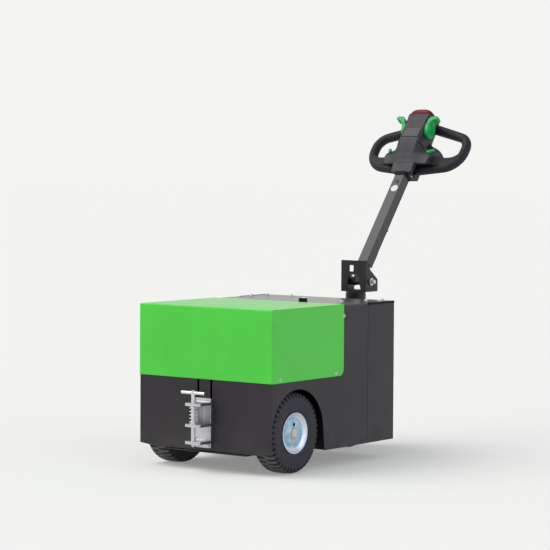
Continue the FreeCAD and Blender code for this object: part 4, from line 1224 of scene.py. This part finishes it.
class TUG_OT_button(bpy.types.Operator):
    """Domed red safety button on top of the head"""
    bl_idname = "tug.button"
    bl_label = "Safety button"

    # half width, half depth and height of each ring below the dome
    FOOT = ((43.0, 38.0, 699.5), (43.0, 38.0, 703.6), (46.2, 40.8, 704.6), (46.8, 41.4, 706.5))
    DOME = 19.5  # height of the dome
    TOP = (2.0, 10.0, 726.1)  # the last ring
    STEPS = 19  # steps up the dome
    SOFT = 0.4  # power that squares the outline's circle

    def execute(self, context):
        rings = [self.outline(*sizes) for sizes in self.FOOT]
        wide, deep, height = self.FOOT[-1]
        for step in range(1, self.STEPS):
            turn = math.pi / 2 * step / self.STEPS
            rings.append(self.outline(wide * math.cos(turn) ** 0.95, deep * math.cos(turn) ** 0.26,
                                      height + self.DOME * math.sin(turn)))
        rings.append(self.outline(*self.TOP))
        add_piece("safety_button", solid(skin, rings), "red", "tiller", "red_plastic",
                  degrees=50, stands_for=["belly_button"])
        return {"FINISHED"}

    def outline(self, wide, deep, height):
        """Soft rectangle round the button at one height, its front just behind the face."""
        points = []
        for step in range(96):
            turn = TURN * step / 96
            x, y = (math.copysign(abs(value) ** self.SOFT, value)
                    for value in (math.cos(turn), math.sin(turn)))
            points.append(mm(x * wide, y * deep - 32.5, height))
        return points


class TUG_OT_tube_trim(bpy.types.Operator):
    """Plug, blank round sticker and clip on the tiller tube"""
    bl_idname = "tug.tube_trim"
    bl_label = "Tube trim"

    # name, profile, place, way it faces, steps round it, finish
    PIECES = (
        ("tube_plug", ((0, 7.0), (1.2, 7.0), (2.0, 6.2), (2.3, 4.0), (1.6, 3.0), (1.6, 1.0)),
         (2, -39.9, 416), -1, 40, "bracket"),
        ("sticker_blank", ((0, 14.0), (0.3, 14.0), (0.45, 13.7), (0.45, 6.0)),
         (2.5, -39.9, 385), -1, 64, "disc"),
        ("tube_clip", ((-1, 4.0), (2.0, 4.0), (3.2, 3.4), (3.8, 2.0)), (16, 0, 226), 1, 24,
         "dark"))

    def execute(self, context):
        for name, profile, place, way, steps, finish in self.PIECES:
            shape = solid(turned, profile, facing(mm(*place), (0, way, 0)), steps)
            add_piece(name, shape, finish, "tiller", "tiller_paint")
        return {"FINISHED"}


class TUG_OT_deck_trim(bpy.types.Operator):
    """Black catch on the deck, and near-black strips of painted shade behind the cover and along
    the rear edges
    """
    bl_idname = "tug.deck_trim"
    bl_label = "Deck trim"

    def execute(self, context):
        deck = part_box("deck_plate")[1].z / MM
        low, high = (corner.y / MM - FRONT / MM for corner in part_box("rear_cover"))
        # the blocks' least and greatest x and y, foot and height; how far the top edge is broken
        for name, blocks, edge, finish in (
                ("deck_catch", ((50, 62.5, 442, 452, deck, 11),
                                (64.5, 78, 442, 452, deck, 11)), 0.8, "dark"),
                ("deck_catch_foot", ((54, 66, 454, 462, deck, 13),), 1.0, "disc"),
                # painted shade: a near-black strip for the shadow gap behind the cover
                ("deck_joint_shade_strip", ((-262, 262, 394.5, 400.5, deck, 0.9),), 0.3, "dark"),
                # painted shade: near-black strips for the shadow line along the rear lid's edges
                ("deck_edge_shade_strip", ((264.5, 271.6, low + 1, high - 7, deck - 6.5, 7.5),
                                    (-271.6, -264.5, low + 1, high - 7, deck - 6.5, 7.5)),
                 0.8, "dark")):
            shape = bmesh.new()
            for block in blocks:
                self.block(shape, edge, *block)
            add_piece(name, shape, finish, "root", "black_paint")
        return {"FINISHED"}

    def block(self, shape, edge, x1, x2, y1, y2, foot, tall):
        """A block with its top edge broken."""
        rings = []
        for z, gap in ((foot, 0.0), (foot + tall - edge, 0.0), (foot + tall, edge)):
            left, right, front, back = x1 + gap, x2 - gap, y1 + gap, y2 - gap
            rings.append([at(left, front, z), at(right, front, z), at(right, back, z),
                          at(left, back, z)])
        skin(shape, rings)


class TUG_PT_panel(bpy.types.Panel):
    """Lists the steps that build the tug"""
    bl_idname = "TUG_PT_panel"
    bl_label = "Tow Tug"
    bl_space_type = "VIEW_3D"
    bl_region_type = "UI"
    bl_category = "Tow Tug"

    def draw(self, context):
        for operator in OPERATORS:
            self.layout.operator(operator.bl_idname)
        for name in SETTINGS:
            settings = getattr(context.scene, name)
            box = self.layout.box()
            for field in settings.bl_rna.properties:
                if field.identifier not in ("name", "rna_type"):
                    box.prop(settings, field.identifier)


SETTINGS = {"tug_paint": TugPaint, "tug_wheels": TugWheels, "tug_head": TugHead,
            "tug_studio": TugStudio}
OPERATORS = (TUG_OT_stage, TUG_OT_finishes, TUG_OT_tyres, TUG_OT_rims, TUG_OT_castor,
             TUG_OT_spring, TUG_OT_jaw_details, TUG_OT_fasteners, TUG_OT_loops, TUG_OT_head,
             TUG_OT_thumb_wings, TUG_OT_button, TUG_OT_tube_trim, TUG_OT_deck_trim)


def register():
    for kind in (*SETTINGS.values(), *OPERATORS, TUG_PT_panel):
        bpy.utils.register_class(kind)
    for name, kind in SETTINGS.items():
        setattr(bpy.types.Scene, name, bpy.props.PointerProperty(type=kind))


def unregister():
    for name in SETTINGS:
        delattr(bpy.types.Scene, name)
    for kind in (TUG_PT_panel, *reversed(OPERATORS), *SETTINGS.values()):
        bpy.utils.unregister_class(kind)


def main():
    register()
    for operator in OPERATORS:
        family, step = operator.bl_idname.split(".")
        getattr(getattr(bpy.ops, family), step)()


if __name__ == "__main__":
    main()
